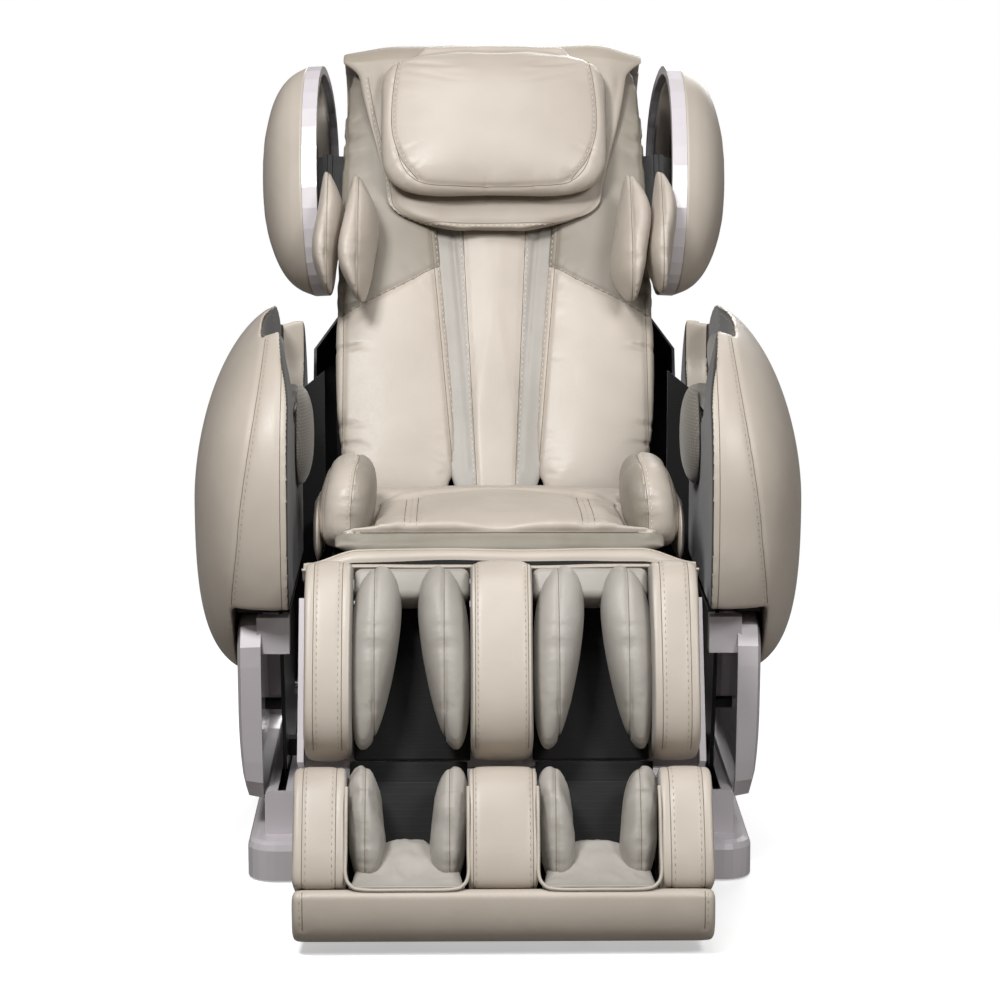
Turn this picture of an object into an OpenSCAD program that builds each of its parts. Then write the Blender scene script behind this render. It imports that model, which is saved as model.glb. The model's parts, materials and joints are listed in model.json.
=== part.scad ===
// Massage chair with a reclining back, zero-gravity seat, forward slide,
// rising leg rest and a foot unit that slides out.
// Millimetres. +Z up, the chair faces -Y, the origin is on the floor under the middle of the plinth.

/* [Widths] */
// Width of the backrest cushion
back_w = 520; // [480:5:560]
// Gap on each side between the backrest and the inner face of an arm
arm_clear = 48; // [42:1:60]
// Width of the flat leather band on the front of an arm
arm_band = 88; // [75:1:100]
// How far the arm's outer side bulges past the band
arm_bulge = 67; // [55:1:85]
// Width of the gap on each side between the leg rest and the arms
leg_clear = 18; // [12:1:30]
// Width of the middle bolster between the two calves
mid_bolster_w = 88; // [75:1:100]
// Width of each outer bolster of the leg rest
side_bolster_w = 68; // [58:1:76]

/* [Base] */
// Length of the floor plinth, front to back
base_l = 700; // [690:5:760]
// Height of the plinth's top above the floor
base_h = 60; // [58:1:70]
// How far the plinth reaches past the slide rails on each side
base_margin = 50; // [42:1:60]
// Wall of the plinth moulding
base_wall = 5; // [3:0.5:7]
// Height of the rubber feet
foot_h = 15; // [12:0.5:18]
// Radius of a rubber foot
foot_r = 24; // [18:0.5:28]
// Radius of a transport wheel
wheel_r = 24; // [20:0.5:25]
// Height of the cover over a slide rail
rail_cover_h = 66; // [60:1:74]
// How far the seat slides forward on the base
slide_travel = 120; // [90:5:130]

/* [Frame] */
// Height of the recline and leg rest axes above the floor
hinge_z = 420; // [410:2:450]
// Distance of the recline axis behind the middle of the plinth
recline_y = 100; // [80:2:120]
// Distance between the leg rest axis and the recline axis
seat_l = 450; // [430:5:480]
// Height of the leg rest axis above the recline axis
leg_rise = 14; // [0:1:25]
// Height of the seat pan above the recline axis
pan_rise = 60; // [50:1:70]
// Height of the zero-gravity axis below the other axes
tilt_drop = 220; // [200:5:230]
// Distance of the zero-gravity axis in front of the recline axis
tilt_ahead = 30; // [20:1:45]
// Radius of the recline and leg rest shafts
shaft_r = 8; // [7:0.25:10]
// Radius of the zero-gravity shaft
tilt_shaft_r = 12; // [10:0.5:14]
// Thickness of the carriage's steel side plates
plate_t = 6; // [4:0.5:8]
// Radius of the actuator tubes
actuator_r = 20; // [16:0.5:22]

/* [Seat] */
// Thickness of the seat cushion at its crown
cushion_t = 58; // [48:1:70]
// Height of a hip bolster
hip_h = 132; // [110:2:150]
// Thickness of a hip bolster
hip_t = 66; // [54:1:72]

/* [Arms] */
// Length of an arm, front to back
arm_l = 700; // [660:5:720]
// Height of the arm above its band's lower end
arm_h = 442; // [410:2:460]
// Height of the forearm channel's floor above the band's lower end
channel_z = 275; // [255:5:290]
// Depth of the forearm channel into the arm
channel_d = 38; // [30:1:46]

/* [Backrest] */
// Angle of the backrest from upright, at rest
back_angle = 30; // [26:1:34]
// Length of the backrest above the recline axis
back_l = 872; // [850:2:900]
// Depth of the backrest's rear shell
shell_d = 108; // [100:1:125]
// Wall of the rear shell
shell_wall = 4; // [3:0.5:6]
// Thickness of the back cushions
back_pad_t = 40; // [34:1:46]
// Height of a shoulder wing
wing_h = 392; // [370:2:420]
// Depth of a shoulder wing, front to back
wing_d = 270; // [240:5:290]
// How far a shoulder wing bulges outwards
wing_bulge = 83; // [66:1:95]
// Thickness of the silver rim of a shoulder wing
rim_t = 24; // [18:1:30]
// Angle at which the shoulder wings open towards the front
wing_flare = 6; // [2:0.5:10]
// Radius of a massage roller
roller_r = 24; // [20:0.5:26]
// Height of the head pillow
pillow_h = 255; // [225:5:270]
// Width of the head pillow
pillow_w = 374; // [330:2:390]

/* [Leg rest] */
// Angle of the leg rest from hanging straight down, at rest
leg_angle = 27; // [22:1:32]
// Length of the calf unit
calf_l = 282; // [265:1:295]
// Gap between the calf unit and the foot unit
foot_gap = 16; // [8:1:20]
// Depth of the leg rest, from its hinge plane to the front of its bolsters
leg_d = 172; // [155:1:185]
// Clearance of the foot unit above the floor
floor_gap = 26; // [20:1:40]
// Thickness of the foot unit's base under the heels
heel_t = 14; // [12:0.5:20]
// Radius of a foot roller
sole_roller_r = 13; // [10:0.5:14]

/* [Hidden] */

// Clearances
seat_fit = 0.3;      // faces that rest on each other
run_fit = 0.05;      // radial play of a shaft in its bore
slide_fit = 0.5;     // play of a sliding block in its channel
move_gap = 5;        // room beside anything that moves

// Places across the width
arm_x = back_w/2 + arm_clear;            // inner face of an arm
rail_x = arm_x + 17;                     // middle of a slide rail
base_w = 2*(rail_x + base_margin);
seat_w = back_w - 10;
leg_x = arm_x - leg_clear;               // outer side of the foot unit
calf_x = leg_x - 12;                     // outer side of the calf bolsters
seam_x = arm_x + arm_band;               // outer edge of an arm's band
arm_out = seam_x + arm_bulge;            // outermost point of an arm

// Places along the length and height
leg_y = recline_y - seat_l;
tilt_y = recline_y - tilt_ahead;
tilt_z = hinge_z - tilt_drop;
arm_z = hinge_z - 25;                    // lower end of an arm's band
pan_z = hinge_z + pan_rise;              // top of the seat pan
arm_y = leg_y - 12;                      // front of an arm
leg_z = hinge_z + leg_rise;              // height of the leg rest axis
apron_y = leg_y + 19;                    // middle of the seat apron
apron_t = 15;                            // thickness of the seat apron

// The base
plinth_r = 42;
plinth_edge = 12;
plinth_lift = 3;
frame_w = 40;
cross_w = 30;
frame_top = base_h - base_wall - seat_fit;
frame_l = base_l - 2*base_wall - 2*move_gap - plinth_edge - 8;
wheel_x = rail_x - 75;
wheel_w = 20;
wheel_y = base_l/2 - 12;
wheel_z = wheel_r + 3;
axle_r = 5;
inlet_w = 30;
inlet_h = 24;
inlet_d = 26;
rocker_w = 10;
rocker_x = 34;

// The slide
rail_w = 34;
rail_h = 34;
rail_wall = 3;
rail_slot = 12;
rail_cover_w = 50;
rail_cover_wall = 4;
glide_l = 60;
tab_front = recline_y - 250;
tab_rear = recline_y + 110;
rail_front = tab_front - slide_travel - 15;
rail_rear = tab_rear + 10;
plate_foot = base_h + rail_wall + 3;
flange_t = 5;
plate_top = arm_z - flange_t - seat_fit;
cover_x = rail_x + rail_cover_w/2 + 3;   // inner edge of a side cover
cover_front = arm_y + 62;
cover_rear = recline_y + 190;
cover_low = base_h + 34;
cover_bosses = [arm_y + 150, recline_y + 90];

// Helpers ------------------------------------------------------------------

// Mirrors its children to the left side when side is -1
module to_side(side) {
    mirror([side < 0 ? 1 : 0, 0, 0]) children();
}

// The backrest's own frame: Z runs up the back, -Y faces the sitter
module in_back() {
    translate([0, recline_y, hinge_z]) rotate([-back_angle, 0, 0]) children();
}

// The leg rest's own frame: -Z runs down the leg, -Y faces the calves
module in_leg() {
    translate([0, leg_y, leg_z]) rotate([-leg_angle, 0, 0]) children();
}

// Turns a form built up along Z so that it is built outwards along +X, with its own Y upwards
module facing_out() {
    rotate([90, 0, 90]) children();
}

// Turns a form built up along Z so that it faces the sitter, with its own Y upwards
module facing_front() {
    rotate([90, 0, 0]) children();
}

// A round bar along X
module bar_x(x1, x2, r) {
    translate([x1, 0, 0]) rotate([0, 90, 0]) cylinder(h = x2 - x1, r = r, $fn = 48);
}

// A round tube along X
module tube_x(x1, x2, r, bore) {
    difference() {
        bar_x(x1, x2, r);
        bar_x(x1 - 1, x2 + 1, bore);
    }
}

// A box given by its lowest and highest corners
module box(low, high) {
    translate(low) cube(high - low);
}

// A YZ outline made solid between two X values
module plate_x(x1, x2, outline) {
    translate([x1, 0, 0]) rotate([90, 0, 90]) linear_extrude(x2 - x1) polygon(outline);
}

function signed_pow(v, e) = sign(v)*pow(abs(v), e);

// A rounded outline: n of 2 is an ellipse, and a larger n is closer to a rectangle
function oval(a, b, n, count) = [
    for (i = [0 : count - 1]) let (
        c = cos(360*i/count),
        s = sin(360*i/count),
        reach = pow(pow(abs(c), n) + pow(abs(s), n), -1/n)
    ) [a*c*reach, b*s*reach]
];

// An oval whose width grows by the share k towards +Y
function egg(a, b, k, n, count) = [for (p = oval(a, b, n, count)) [p.x*(1 + k*p.y/b), p.y]];

// A rectangle with rounded corners
function rounded_rect(w, l, r, seg) = [
    for (c = [[1, 1, 0], [-1, 1, 90], [-1, -1, 180], [1, -1, 270]]) for (i = [0 : seg])
        let (t = c[2] + 90*i/seg)
            [c[0]*(w/2 - r) + r*cos(t), c[1]*(l/2 - r) + r*sin(t)]
];

// Half of a crowned section, as [share of the outline, height] pairs from its pole to its edge
function crown(h, n, k) = [
    for (i = [0 : k]) let (t = 90 - 90*i/k) [pow(abs(cos(t)), 2/n), h*pow(sin(t), 2/n)]
];

// A closed surface through rings of equal count, from a first point to a last point
module skin(first, rings, last) {
    count = len(rings[0]);
    total = len(rings);
    points = concat([first], [for (r = rings) each r], [last]);
    end = len(points) - 1;
    top = [for (j = [0 : count - 1]) [0, 1 + (j + 1) % count, 1 + j]];
    sides = [
        for (i = [0 : total - 2]) for (j = [0 : count - 1])
            let (a = 1 + i*count + j, b = 1 + i*count + (j + 1) % count, c = b + count, d = a + count)
                each [[a, b, c], [a, c, d]]
    ];
    low = 1 + (total - 1)*count;
    bottom = [for (j = [0 : count - 1]) [low + j, low + (j + 1) % count, end]];
    polyhedron(points, concat(top, sides, bottom), convexity = 6);
}

// A closed form whose section is the same list of [share, height] pairs all round an outline
module turned(outline, section, warp) {
    last = len(section) - 1;
    rings = [
        for (i = [1 : last - 1]) [for (p = outline) warp([p.x*section[i][0], p.y*section[i][0], section[i][1]])]
    ];
    skin(warp([0, 0, section[0][1]]), rings, warp([0, 0, section[last][1]]));
}

// A stuffed pad over an outline, with its own crown above and below the seam
module pad(outline, up, down, n = 2.6, k = 4, warp = function (p) p) {
    above = crown(up, n, k);
    below = crown(down, n, k);
    turned(outline, concat(above, [for (i = [1 : k]) [below[k - i][0], -below[k - i][1]]]), warp);
}

// A hollow dish over an outline, open at Z = 0
module dish(outline, depth, wall, half, n = 3, k = 4, warp = function (p) p) {
    outer = crown(depth, n, k);
    inner = crown(depth - wall, n, k);
    share = 1 - wall/half;
    turned(outline, concat(outer, [for (i = [0 : k]) [inner[k - i][0]*share, inner[k - i][1]]]), warp);
}

// Base ----------------------------------------------------------------------

// Ring of the plinth's outline, set in by a distance, at a height
function plinth_ring(inset, z) = [
    for (p = rounded_rect(base_w - 2*inset, base_l - 2*inset, max(plinth_r - inset, 4), 5)) [p.x, p.y, z]
];

// The moulded floor plinth, open underneath, with notches for the wheels and the power inlet
module base_plinth() {
    color([0.80, 0.79, 0.82]) difference() {
        skin(
            [0, 0, base_h],
            [
                plinth_ring(plinth_edge, base_h),
                plinth_ring(plinth_edge*0.3, base_h - plinth_edge*0.3),
                plinth_ring(0, base_h - plinth_edge),
                plinth_ring(0, plinth_lift),
                plinth_ring(base_wall, plinth_lift),
                plinth_ring(base_wall, base_h - plinth_edge),
                plinth_ring(plinth_edge + base_wall, base_h - base_wall)
            ],
            [0, 0, base_h - base_wall]);
        for (side = [-1, 1])
            translate([side*wheel_x - wheel_w/2 - move_gap - 2, base_l/2 - base_wall - 8, -1])
                cube([wheel_w + 2*move_gap + 4, base_wall + 10, wheel_z + wheel_r + 3]);
        translate([-inlet_w, base_l/2 - base_wall - 3, plinth_lift + 8])
            cube([inlet_w + rocker_x + rocker_w + 4, base_wall + 6, inlet_h + 2*seat_fit]);
    }
}

// Welded steel ladder inside the plinth, with the wheel brackets and axles
module base_frame() {
    cross_y = frame_l/2 - cross_w/2;
    inner = rail_x - frame_w/2;
    color([0.10, 0.10, 0.11]) {
        for (side = [-1, 1])
            box([side*rail_x - frame_w/2, -frame_l/2, foot_h], [side*rail_x + frame_w/2, frame_l/2, frame_top]);
        for (y = [-cross_y, 0, cross_y - 40])
            box([-inner, y - cross_w/2, foot_h], [inner, y + cross_w/2, frame_top]);
        for (side = [-1, 1]) wheel_bracket(side*wheel_x, cross_y - 40 + cross_w/2);
    }
}

// Two ears behind the rear cross tube with an axle between them
module wheel_bracket(x, y_front) {
    ear_t = 4;
    ear_x = wheel_w/2 + 1.5;
    difference() {
        for (s = [-1, 1])
            translate([x + s*(ear_x + ear_t/2) - ear_t/2, y_front, wheel_z - 9])
                cube([ear_t, wheel_y + 8 - y_front, 18]);
        translate([0, wheel_y, wheel_z]) bar_x(x - 30, x + 30, axle_r + 0.02);
    }
    translate([0, wheel_y, wheel_z]) bar_x(x - ear_x - ear_t, x + ear_x + ear_t, axle_r);
}

// Rubber feet under the corners of the frame and under its middle
module rubber_feet() {
    reach_y = frame_l/2 - foot_r - 8;
    color([0.06, 0.06, 0.06]) for (place = [[-1, -1], [-1, 1], [1, -1], [1, 1], [0, 0]])
        translate([place.x*rail_x, place.y*reach_y, 0]) {
            cylinder(h = 3, r1 = foot_r - 3, r2 = foot_r, $fn = 48);
            translate([0, 0, 3]) cylinder(h = foot_h - 3, r = foot_r, $fn = 48);
        }
}

// Rubber-tyred wheel for tipping the chair back and rolling it
module transport_wheel(side) {
    color([0.12, 0.12, 0.13]) translate([side*wheel_x, wheel_y, wheel_z]) difference() {
        union() {
            bar_x(-wheel_w/2 + 3, wheel_w/2 - 3, wheel_r);
            bar_x(-wheel_w/2, wheel_w/2, wheel_r - 5);
        }
        bar_x(-wheel_w, wheel_w, axle_r + run_fit);
        for (s = [-1, 1]) tube_x(s*wheel_w/2 - 3, s*wheel_w/2 + 3, wheel_r - 9, axle_r + 5);
    }
}

// Two C-section rails on the plinth, open towards the top
module slide_rails() {
    profile = [
        [-rail_w/2, 0], [rail_w/2, 0], [rail_w/2, rail_h], [rail_slot/2, rail_h],
        [rail_slot/2, rail_h - rail_wall], [rail_w/2 - rail_wall, rail_h - rail_wall],
        [rail_w/2 - rail_wall, rail_wall], [-rail_w/2 + rail_wall, rail_wall],
        [-rail_w/2 + rail_wall, rail_h - rail_wall], [-rail_slot/2, rail_h - rail_wall],
        [-rail_slot/2, rail_h], [-rail_w/2, rail_h]
    ];
    color([0.62, 0.63, 0.65]) for (side = [-1, 1])
        translate([side*rail_x, rail_rear, base_h]) rotate([90, 0, 0])
            linear_extrude(rail_rear - rail_front) polygon(profile);
}

// Moulded covers over the rails, slotted for the carriage's plates
module rail_covers() {
    low = rail_front - 14;
    high = rail_rear + 14;
    arch = rail_cover_arch(rail_cover_w, rail_cover_h, 7);
    hollow = rail_cover_arch(rail_cover_w - 2*rail_cover_wall, rail_cover_h - rail_cover_wall, 4);
    color([0.80, 0.79, 0.82]) for (side = [-1, 1]) translate([side*rail_x, 0, base_h]) difference() {
        translate([0, high, 0]) rotate([90, 0, 0]) linear_extrude(high - low) polygon(arch);
        translate([0, high - rail_cover_wall, 0]) rotate([90, 0, 0])
            linear_extrude(high - low - 2*rail_cover_wall) polygon(hollow);
        box([-rail_slot/2, low + rail_cover_wall + 1, rail_h], [rail_slot/2, high - rail_cover_wall - 1, rail_cover_h + 1]);
    }
}

// Outline of a rail cover's section: square at the foot, rounded at the top
function rail_cover_arch(w, h, r) = concat(
    [[-w/2, 0], [w/2, 0]],
    [for (i = [0 : 6]) [w/2 - r + r*cos(15*i), h - r + r*sin(15*i)]],
    [for (i = [0 : 6]) [-w/2 + r - r*sin(15*i), h - r + r*cos(15*i)]]
);

// Appliance inlet with three pins, and the housing of the rocker switch beside it
module power_inlet() {
    back = base_l/2;
    z0 = plinth_lift + 8 + seat_fit;
    color([0.07, 0.07, 0.08]) {
        difference() {
            box([-inlet_w + seat_fit, back - inlet_d, z0], [rocker_x + rocker_w + 4 - seat_fit, back + 2, z0 + inlet_h]);
            box([-inlet_w + 6, back - 15, z0 + 5], [-6, back + 3, z0 + inlet_h - 5]);
            box([rocker_x - 17, back - 9, z0 + 6], [rocker_x + 8, back + 3, z0 + inlet_h - 6]);
            translate([rocker_x - 4.5, back - 3, z0 + 3]) cylinder(h = inlet_h - 6, r = 1.5 + run_fit, $fn = 24);
        }
        for (x = [-24, -18, -12])
            box([x - 1, back - 15, z0 + inlet_h/2 - 2], [x + 1, back - 4, z0 + inlet_h/2 + 2]);
    }
}

// Rocker of the main switch, on an upright pin
module power_switch() {
    z0 = plinth_lift + 8 + seat_fit;
    rocker = [[-9, 4.6], [0, 3.2], [9, 4.6], [8, -2.6], [-8, -2.6]];
    color([0.55, 0.08, 0.07]) translate([rocker_x - 4.5, base_l/2 - 3, z0]) {
        translate([0, 0, 6.5]) rotate([0, 0, -10]) linear_extrude(inlet_h - 13) polygon(rocker);
        translate([0, 0, 3.3]) cylinder(h = inlet_h - 6.6, r = 1.5, $fn = 24);
    }
}

// Carriage ------------------------------------------------------------------

// Side plates, cross tubes, top flanges, tray and the stand-offs of the side covers
module carriage_frame() {
    in_x = rail_x - plate_t/2;
    outline = [
        [tab_front, plate_foot], [tab_rear, plate_foot], [tab_rear, base_h + rail_cover_h + 6],
        [recline_y + 150, plate_top], [arm_y + 100, plate_top],
        [tab_front - 40, base_h + rail_cover_h + 6], [tab_front, base_h + rail_cover_h + 6]
    ];
    tray_z = base_h + rail_cover_h + 14;
    color([0.09, 0.09, 0.10]) {
        for (side = [-1, 1]) to_side(side) {
            difference() {
                plate_x(in_x, in_x + plate_t, outline);
                translate([0, tilt_y, tilt_z]) bar_x(in_x - 1, in_x + plate_t + 1, tilt_shaft_r + 0.02);
            }
            box([arm_x + 4, arm_y + 105, plate_top], [seam_x - 6, recline_y + 145, plate_top + flange_t]);
            for (y = cover_bosses)
                translate([0, y, tilt_z + 40]) bar_x(in_x + plate_t, cover_x - seat_fit, 9);
        }
        for (y = [tab_front + 10, tab_rear - 40]) box([-in_x, y, tray_z], [in_x, y + 26, tray_z + 26]);
        box([-150, tab_front + 36, tray_z + 2], [150, tab_rear - 40, tray_z + 6]);
    }
}

// Nylon blocks that run in the rails, slotted for the plates
module rail_glides() {
    w = rail_w - 2*rail_wall - 2*slide_fit;
    h = rail_h - 2*rail_wall - 2*slide_fit;
    z0 = base_h + rail_wall + slide_fit;
    color([0.85, 0.85, 0.82]) for (side = [-1, 1]) for (y = [tab_front + 4, tab_rear - glide_l - 4])
        difference() {
            box([side*rail_x - w/2, y, z0], [side*rail_x + w/2, y + glide_l, z0 + h]);
            box([side*rail_x - plate_t/2, y - 1, plate_foot], [side*rail_x + plate_t/2, y + glide_l + 1, z0 + h + 1]);
        }
}

// Shaft on which the seat tips back
module tilt_shaft() {
    reach = rail_x + plate_t/2 + 3;
    color([0.66, 0.67, 0.70]) translate([0, tilt_y, tilt_z]) bar_x(-reach, reach, tilt_shaft_r);
}

// Air pump for the airbags, with its valve block
module air_pump() {
    z0 = base_h + rail_cover_h + 20 + seat_fit;
    color([0.16, 0.16, 0.17]) translate([-85, recline_y - 124, z0]) {
        box([-50, -65, 0], [50, 65, 62]);
        for (i = [-2 : 2]) translate([i*18, 0, 62 + 9]) rotate([90, 0, 0]) cylinder(h = 90, r = 6, center = true, $fn = 32);
        box([-46, -48, 62], [46, 48, 66]);
    }
}

// Power supply and control board in a finned box
module control_box() {
    z0 = base_h + rail_cover_h + 20 + seat_fit;
    color([0.20, 0.20, 0.21]) translate([80, recline_y - 124, z0]) {
        box([-55, -75, 0], [55, 75, 44]);
        for (i = [-4 : 4]) box([i*12 - 2, -70, 44], [i*12 + 2, 70, 54]);
    }
}

// Silver side cover between an arm and the plinth: a thin domed shell with a boxed front end
module side_cover(side) {
    half_l = (cover_rear - cover_front)/2;
    half_h = (plate_top - seat_fit - cover_low)/2;
    depth = seam_x - 3 - cover_x;
    color([0.80, 0.79, 0.82]) to_side(side) {
        translate([cover_x, cover_front + half_l, cover_low + half_h]) facing_out()
            dish(egg(half_l, half_h, 0.05, 8, 40), depth, 4, half_h, n = 7, k = 4,
                 warp = function (p) [p.x, p.y, p.z*(1 - 0.3*pow(max(0, -p.y/half_h), 2))]);
        box([arm_x + 3, cover_front + 4, arm_z - 60], [cover_x + 6, cover_front + 34, arm_z - 5.6]);
        for (y = cover_bosses) translate([0, y, tilt_z + 40]) bar_x(cover_x, cover_x + depth - 8, 9);
    }
}

// Arms ------------------------------------------------------------------------

// Outline of an arm at x, where u runs from 0 at the inner face to 1 at the outermost point
function arm_ring(x, u, shrink) = let (
    long = pow(max(0, 1 - pow(u, 3)), 1/3)*shrink,
    tall = sqrt(max(0, 1 - u*u))*shrink,
    deep = pow(max(0, 1 - pow(u, 3.4)), 1/3.4)*shrink,
    half_l = arm_l/2,
    mid_y = arm_y + half_l,
    mid_z = arm_z + arm_h*0.31
) [
    for (i = [0 : 31]) let (
        t = 360*i/32,
        c = signed_pow(cos(t), 2/2.35),
        s = signed_pow(sin(t), 2/2.35)
    ) [x, mid_y + c*half_l*long, mid_z + s*(s > 0 ? arm_h*0.69*tall : arm_h*0.66*deep)]
];

// Leather-covered arm: band in front, bulging side, forearm channel cut from the inside
module arm_shell(side) {
    span = arm_out - arm_x;
    steps = [0.988, 0.955, 0.9, 0.82, 0.73, 0.62, 0.5, 0.36, 0.2, 0.05];
    mid = [arm_y + arm_l/2, arm_z + arm_h*0.31];
    rings = concat(
        [for (u = steps) arm_ring(arm_x + span*u, u, 1)],
        [arm_ring(arm_x, 0, 0.985)]
    );
    wall_x = arm_x + channel_d;
    color([0.78, 0.74, 0.67]) to_side(side) difference() {
        skin([arm_out, mid.x, mid.y], rings, [arm_x, mid.x, mid.y]);
        box([arm_x - 5, arm_y - 20, arm_z - 300], [seam_x - 1, arm_y + arm_l + 20, arm_z]);
        forearm_channel(wall_x);
    }
}

// The space for a forearm: open to the inside and the top of an arm
module forearm_channel(wall_x) {
    front = arm_y + 110;
    rear = arm_y + arm_l - 120;
    floor_z = arm_z + channel_z;
    high = arm_z + arm_h + 40;
    reach = wall_x - arm_x + 10;
    box([arm_x - 10, front + 60, floor_z], [wall_x, rear - 60, high]);
    box([arm_x - 10, front, floor_z + 60], [wall_x, rear, high]);
    for (y = [front + 60, rear - 60]) translate([0, y, floor_z + 60]) bar_x(arm_x - 10, wall_x, 60);
}

// Airbags of an arm: one along the channel's floor, one on the channel's wall, one low on the inner face
module arm_pads(side) {
    floor_z = arm_z + channel_z;
    wall_x = arm_x + channel_d;
    mid_y = arm_y + arm_l/2 - 12;
    low_t = arm_clear/2;
    color([0.58, 0.56, 0.52]) to_side(side) {
        translate([arm_x + channel_d/2, mid_y, floor_z + seat_fit + 7])
            pad(oval(channel_d/2 - 1, 150, 4, 16), 12, 7, n = 2.5, k = 3);
        translate([wall_x - 1, mid_y + 10, floor_z + 66]) rotate([0, 0, 180]) facing_out()
            pad(egg(132, 36, 0.1, 2.6, 16), 16, 0.6, n = 2.4, k = 3);
        translate([arm_x - seat_fit - 0.6, mid_y - 20, arm_z + 232]) rotate([0, 0, 180]) facing_out()
            pad(egg(96, 78, -0.1, 2.4, 16), low_t, 0.6, n = 2.3, k = 3);
    }
}

// Seat ------------------------------------------------------------------------

// Side bars, cross tubes, pan and the arms that reach down to the tilt shaft
module seat_frame() {
    bar_out = seat_w/2 - 8;
    bar_in = bar_out - 6;
    lug_x = bar_out + 30;
    top = pan_z - 4;
    low = hinge_z - 22;
    pan_front = apron_y + apron_t/2 + seat_fit;
    axes = [[leg_y, leg_z], [recline_y, hinge_z]];
    color([0.09, 0.09, 0.10]) {
        for (side = [-1, 1]) to_side(side) {
            difference() {
                union() {
                    box([bar_in, leg_y + 8, low], [bar_out, leg_y + 34, pan_z - 26]);
                    box([bar_in, leg_y + 28, low], [bar_out, recline_y, top]);
                    for (a = axes) translate([0, a[0], a[1]]) bar_x(bar_in, bar_out, 22);
                }
                for (a = axes) translate([0, a[0], a[1]]) bar_x(bar_in - 1, bar_out + 1, shaft_r + 0.02);
            }
            box([bar_out, tilt_y - 34, top - 26], [lug_x, tilt_y - 6, top]);
            difference() {
                union() {
                    box([lug_x, tilt_y - 34, tilt_z + 4], [lug_x + 8, tilt_y + 12, top]);
                    translate([0, tilt_y, tilt_z]) bar_x(lug_x, lug_x + 8, 26);
                }
                translate([0, tilt_y, tilt_z]) bar_x(lug_x - 1, lug_x + 9, tilt_shaft_r + run_fit);
            }
        }
        for (y = seat_tubes) box([-bar_in, y, top - 26], [bar_in, y + 28, top]);
        box([-bar_out, pan_front, top], [bar_out, recline_y - 36, top + 4]);
        box([-bar_in, pan_front, top - 14], [bar_in, pan_front + 3, top]);
        actuator_hanger(recline_ax, recline_tail, recline_rod_z, seat_tubes[1], top - 26);
        actuator_hanger(leg_ax, leg_tail, leg_rod_z, seat_tubes[2], top - 26);
    }
}

// Bracket that hangs under a cross tube and carries the tail of an actuator
module actuator_hanger(x, tail_y, z, tube_y, z_top) {
    plate = actuator_r + 4;
    for (s = [-1, 1]) difference() {
        box([x + s*plate - 3, min(tail_y - 14, tube_y + 4), z - 16], [x + s*plate + 3, max(tail_y + 14, tube_y + 24), z_top]);
        translate([0, tail_y, z]) bar_x(x - plate - 5, x + plate + 5, 6.02);
    }
    translate([0, tail_y, z]) bar_x(x - plate - 5, x + plate + 5, 6);
}

// Shafts of the leg rest and the recline
module hinge_shafts() {
    reach = seat_w/2 - 5;
    color([0.66, 0.67, 0.70]) for (a = [[leg_y, leg_z], [recline_y, hinge_z]])
        translate([0, a[0], a[1]]) bar_x(-reach, reach, shaft_r);
}

// Seat cushion: crowned, with three sewn panels, drawn in at the sides to pass between the hip bolsters
module seat_cushion() {
    front = leg_y + 12;
    half_l = (recline_y - 30 - front)/2;
    half_w = seat_w/2;
    seam_at = half_w*0.54;
    rise = cushion_t*0.62;
    hip_y = hip_mid_y - front - half_l;
    pull = 1 - (hip_in - 2)/half_w;
    color([0.80, 0.77, 0.70]) translate([0, front + half_l, pan_z + seat_fit + cushion_t*0.38])
        pad(oval(half_w, half_l, 5.5, 48), rise, cushion_t*0.38, n = 3.2, k = 5, warp = function (p) let (
            beside = exp(-pow((p.y - hip_y)/(hip_l*0.62), 8)),
            draw = 1 - 0.030*(1 - pow(p.y/half_l, 2))*(1 - beside) - pull*beside,
            high = max(0, p.z/rise),
            channel = exp(-pow((abs(p.x) - seam_at)/16, 2)),
            slope = 9*p.y/half_l
        ) [p.x*draw, p.y, p.z - high*(5*channel + slope + 5*pow(p.x/half_w, 2))]);
}

// Leather apron that closes the gap between the seat and the leg rest
module seat_apron() {
    half = arm_x - leg_clear - 4;
    mid_z = pan_z - 11.5;
    color([0.76, 0.72, 0.65]) skin(
        [-half, apron_y, mid_z],
        [for (x = [-half, -half + 14, -half*0.5, 0, half*0.5, half - 14, half]) [
            for (q = oval(apron_t/2 - 2.5*pow(x/half, 4), 11, 3, 16)) [x, apron_y - q.x, mid_z + q.y]
        ]],
        [half, apron_y, mid_z]);
}

hip_l = 236;                             // length of a hip bolster
hip_mid_y = leg_y + 175;
hip_in = back_w/2 + 3 - hip_t;           // inner face of a hip bolster

// Padded bolster that stands on the seat pan beside the sitter's hips, with a flank outside the pan
module hip_bolster(side) {
    half_h = hip_h/2;
    flank_t = 8;
    color([0.74, 0.71, 0.65]) to_side(side) {
        translate([hip_in + hip_t/2, hip_mid_y, pan_z + seat_fit + half_h]) facing_out()
            pad(egg(hip_l/2, half_h, -0.10, 3.2, 24), hip_t/2, hip_t/2, n = 3.4, k = 3,
                warp = function (p) [p.x, p.y, p.z*(1 - 0.3*pow(max(0, p.y/half_h), 2))]);
        translate([back_w/2 + 1.4 + flank_t, hip_mid_y, pan_z + 26]) facing_out()
            pad(oval(hip_l/2 - 8, 46, 3.5, 16), flank_t, flank_t, n = 3, k = 2);
    }
}

// Actuators -------------------------------------------------------------------

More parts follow.
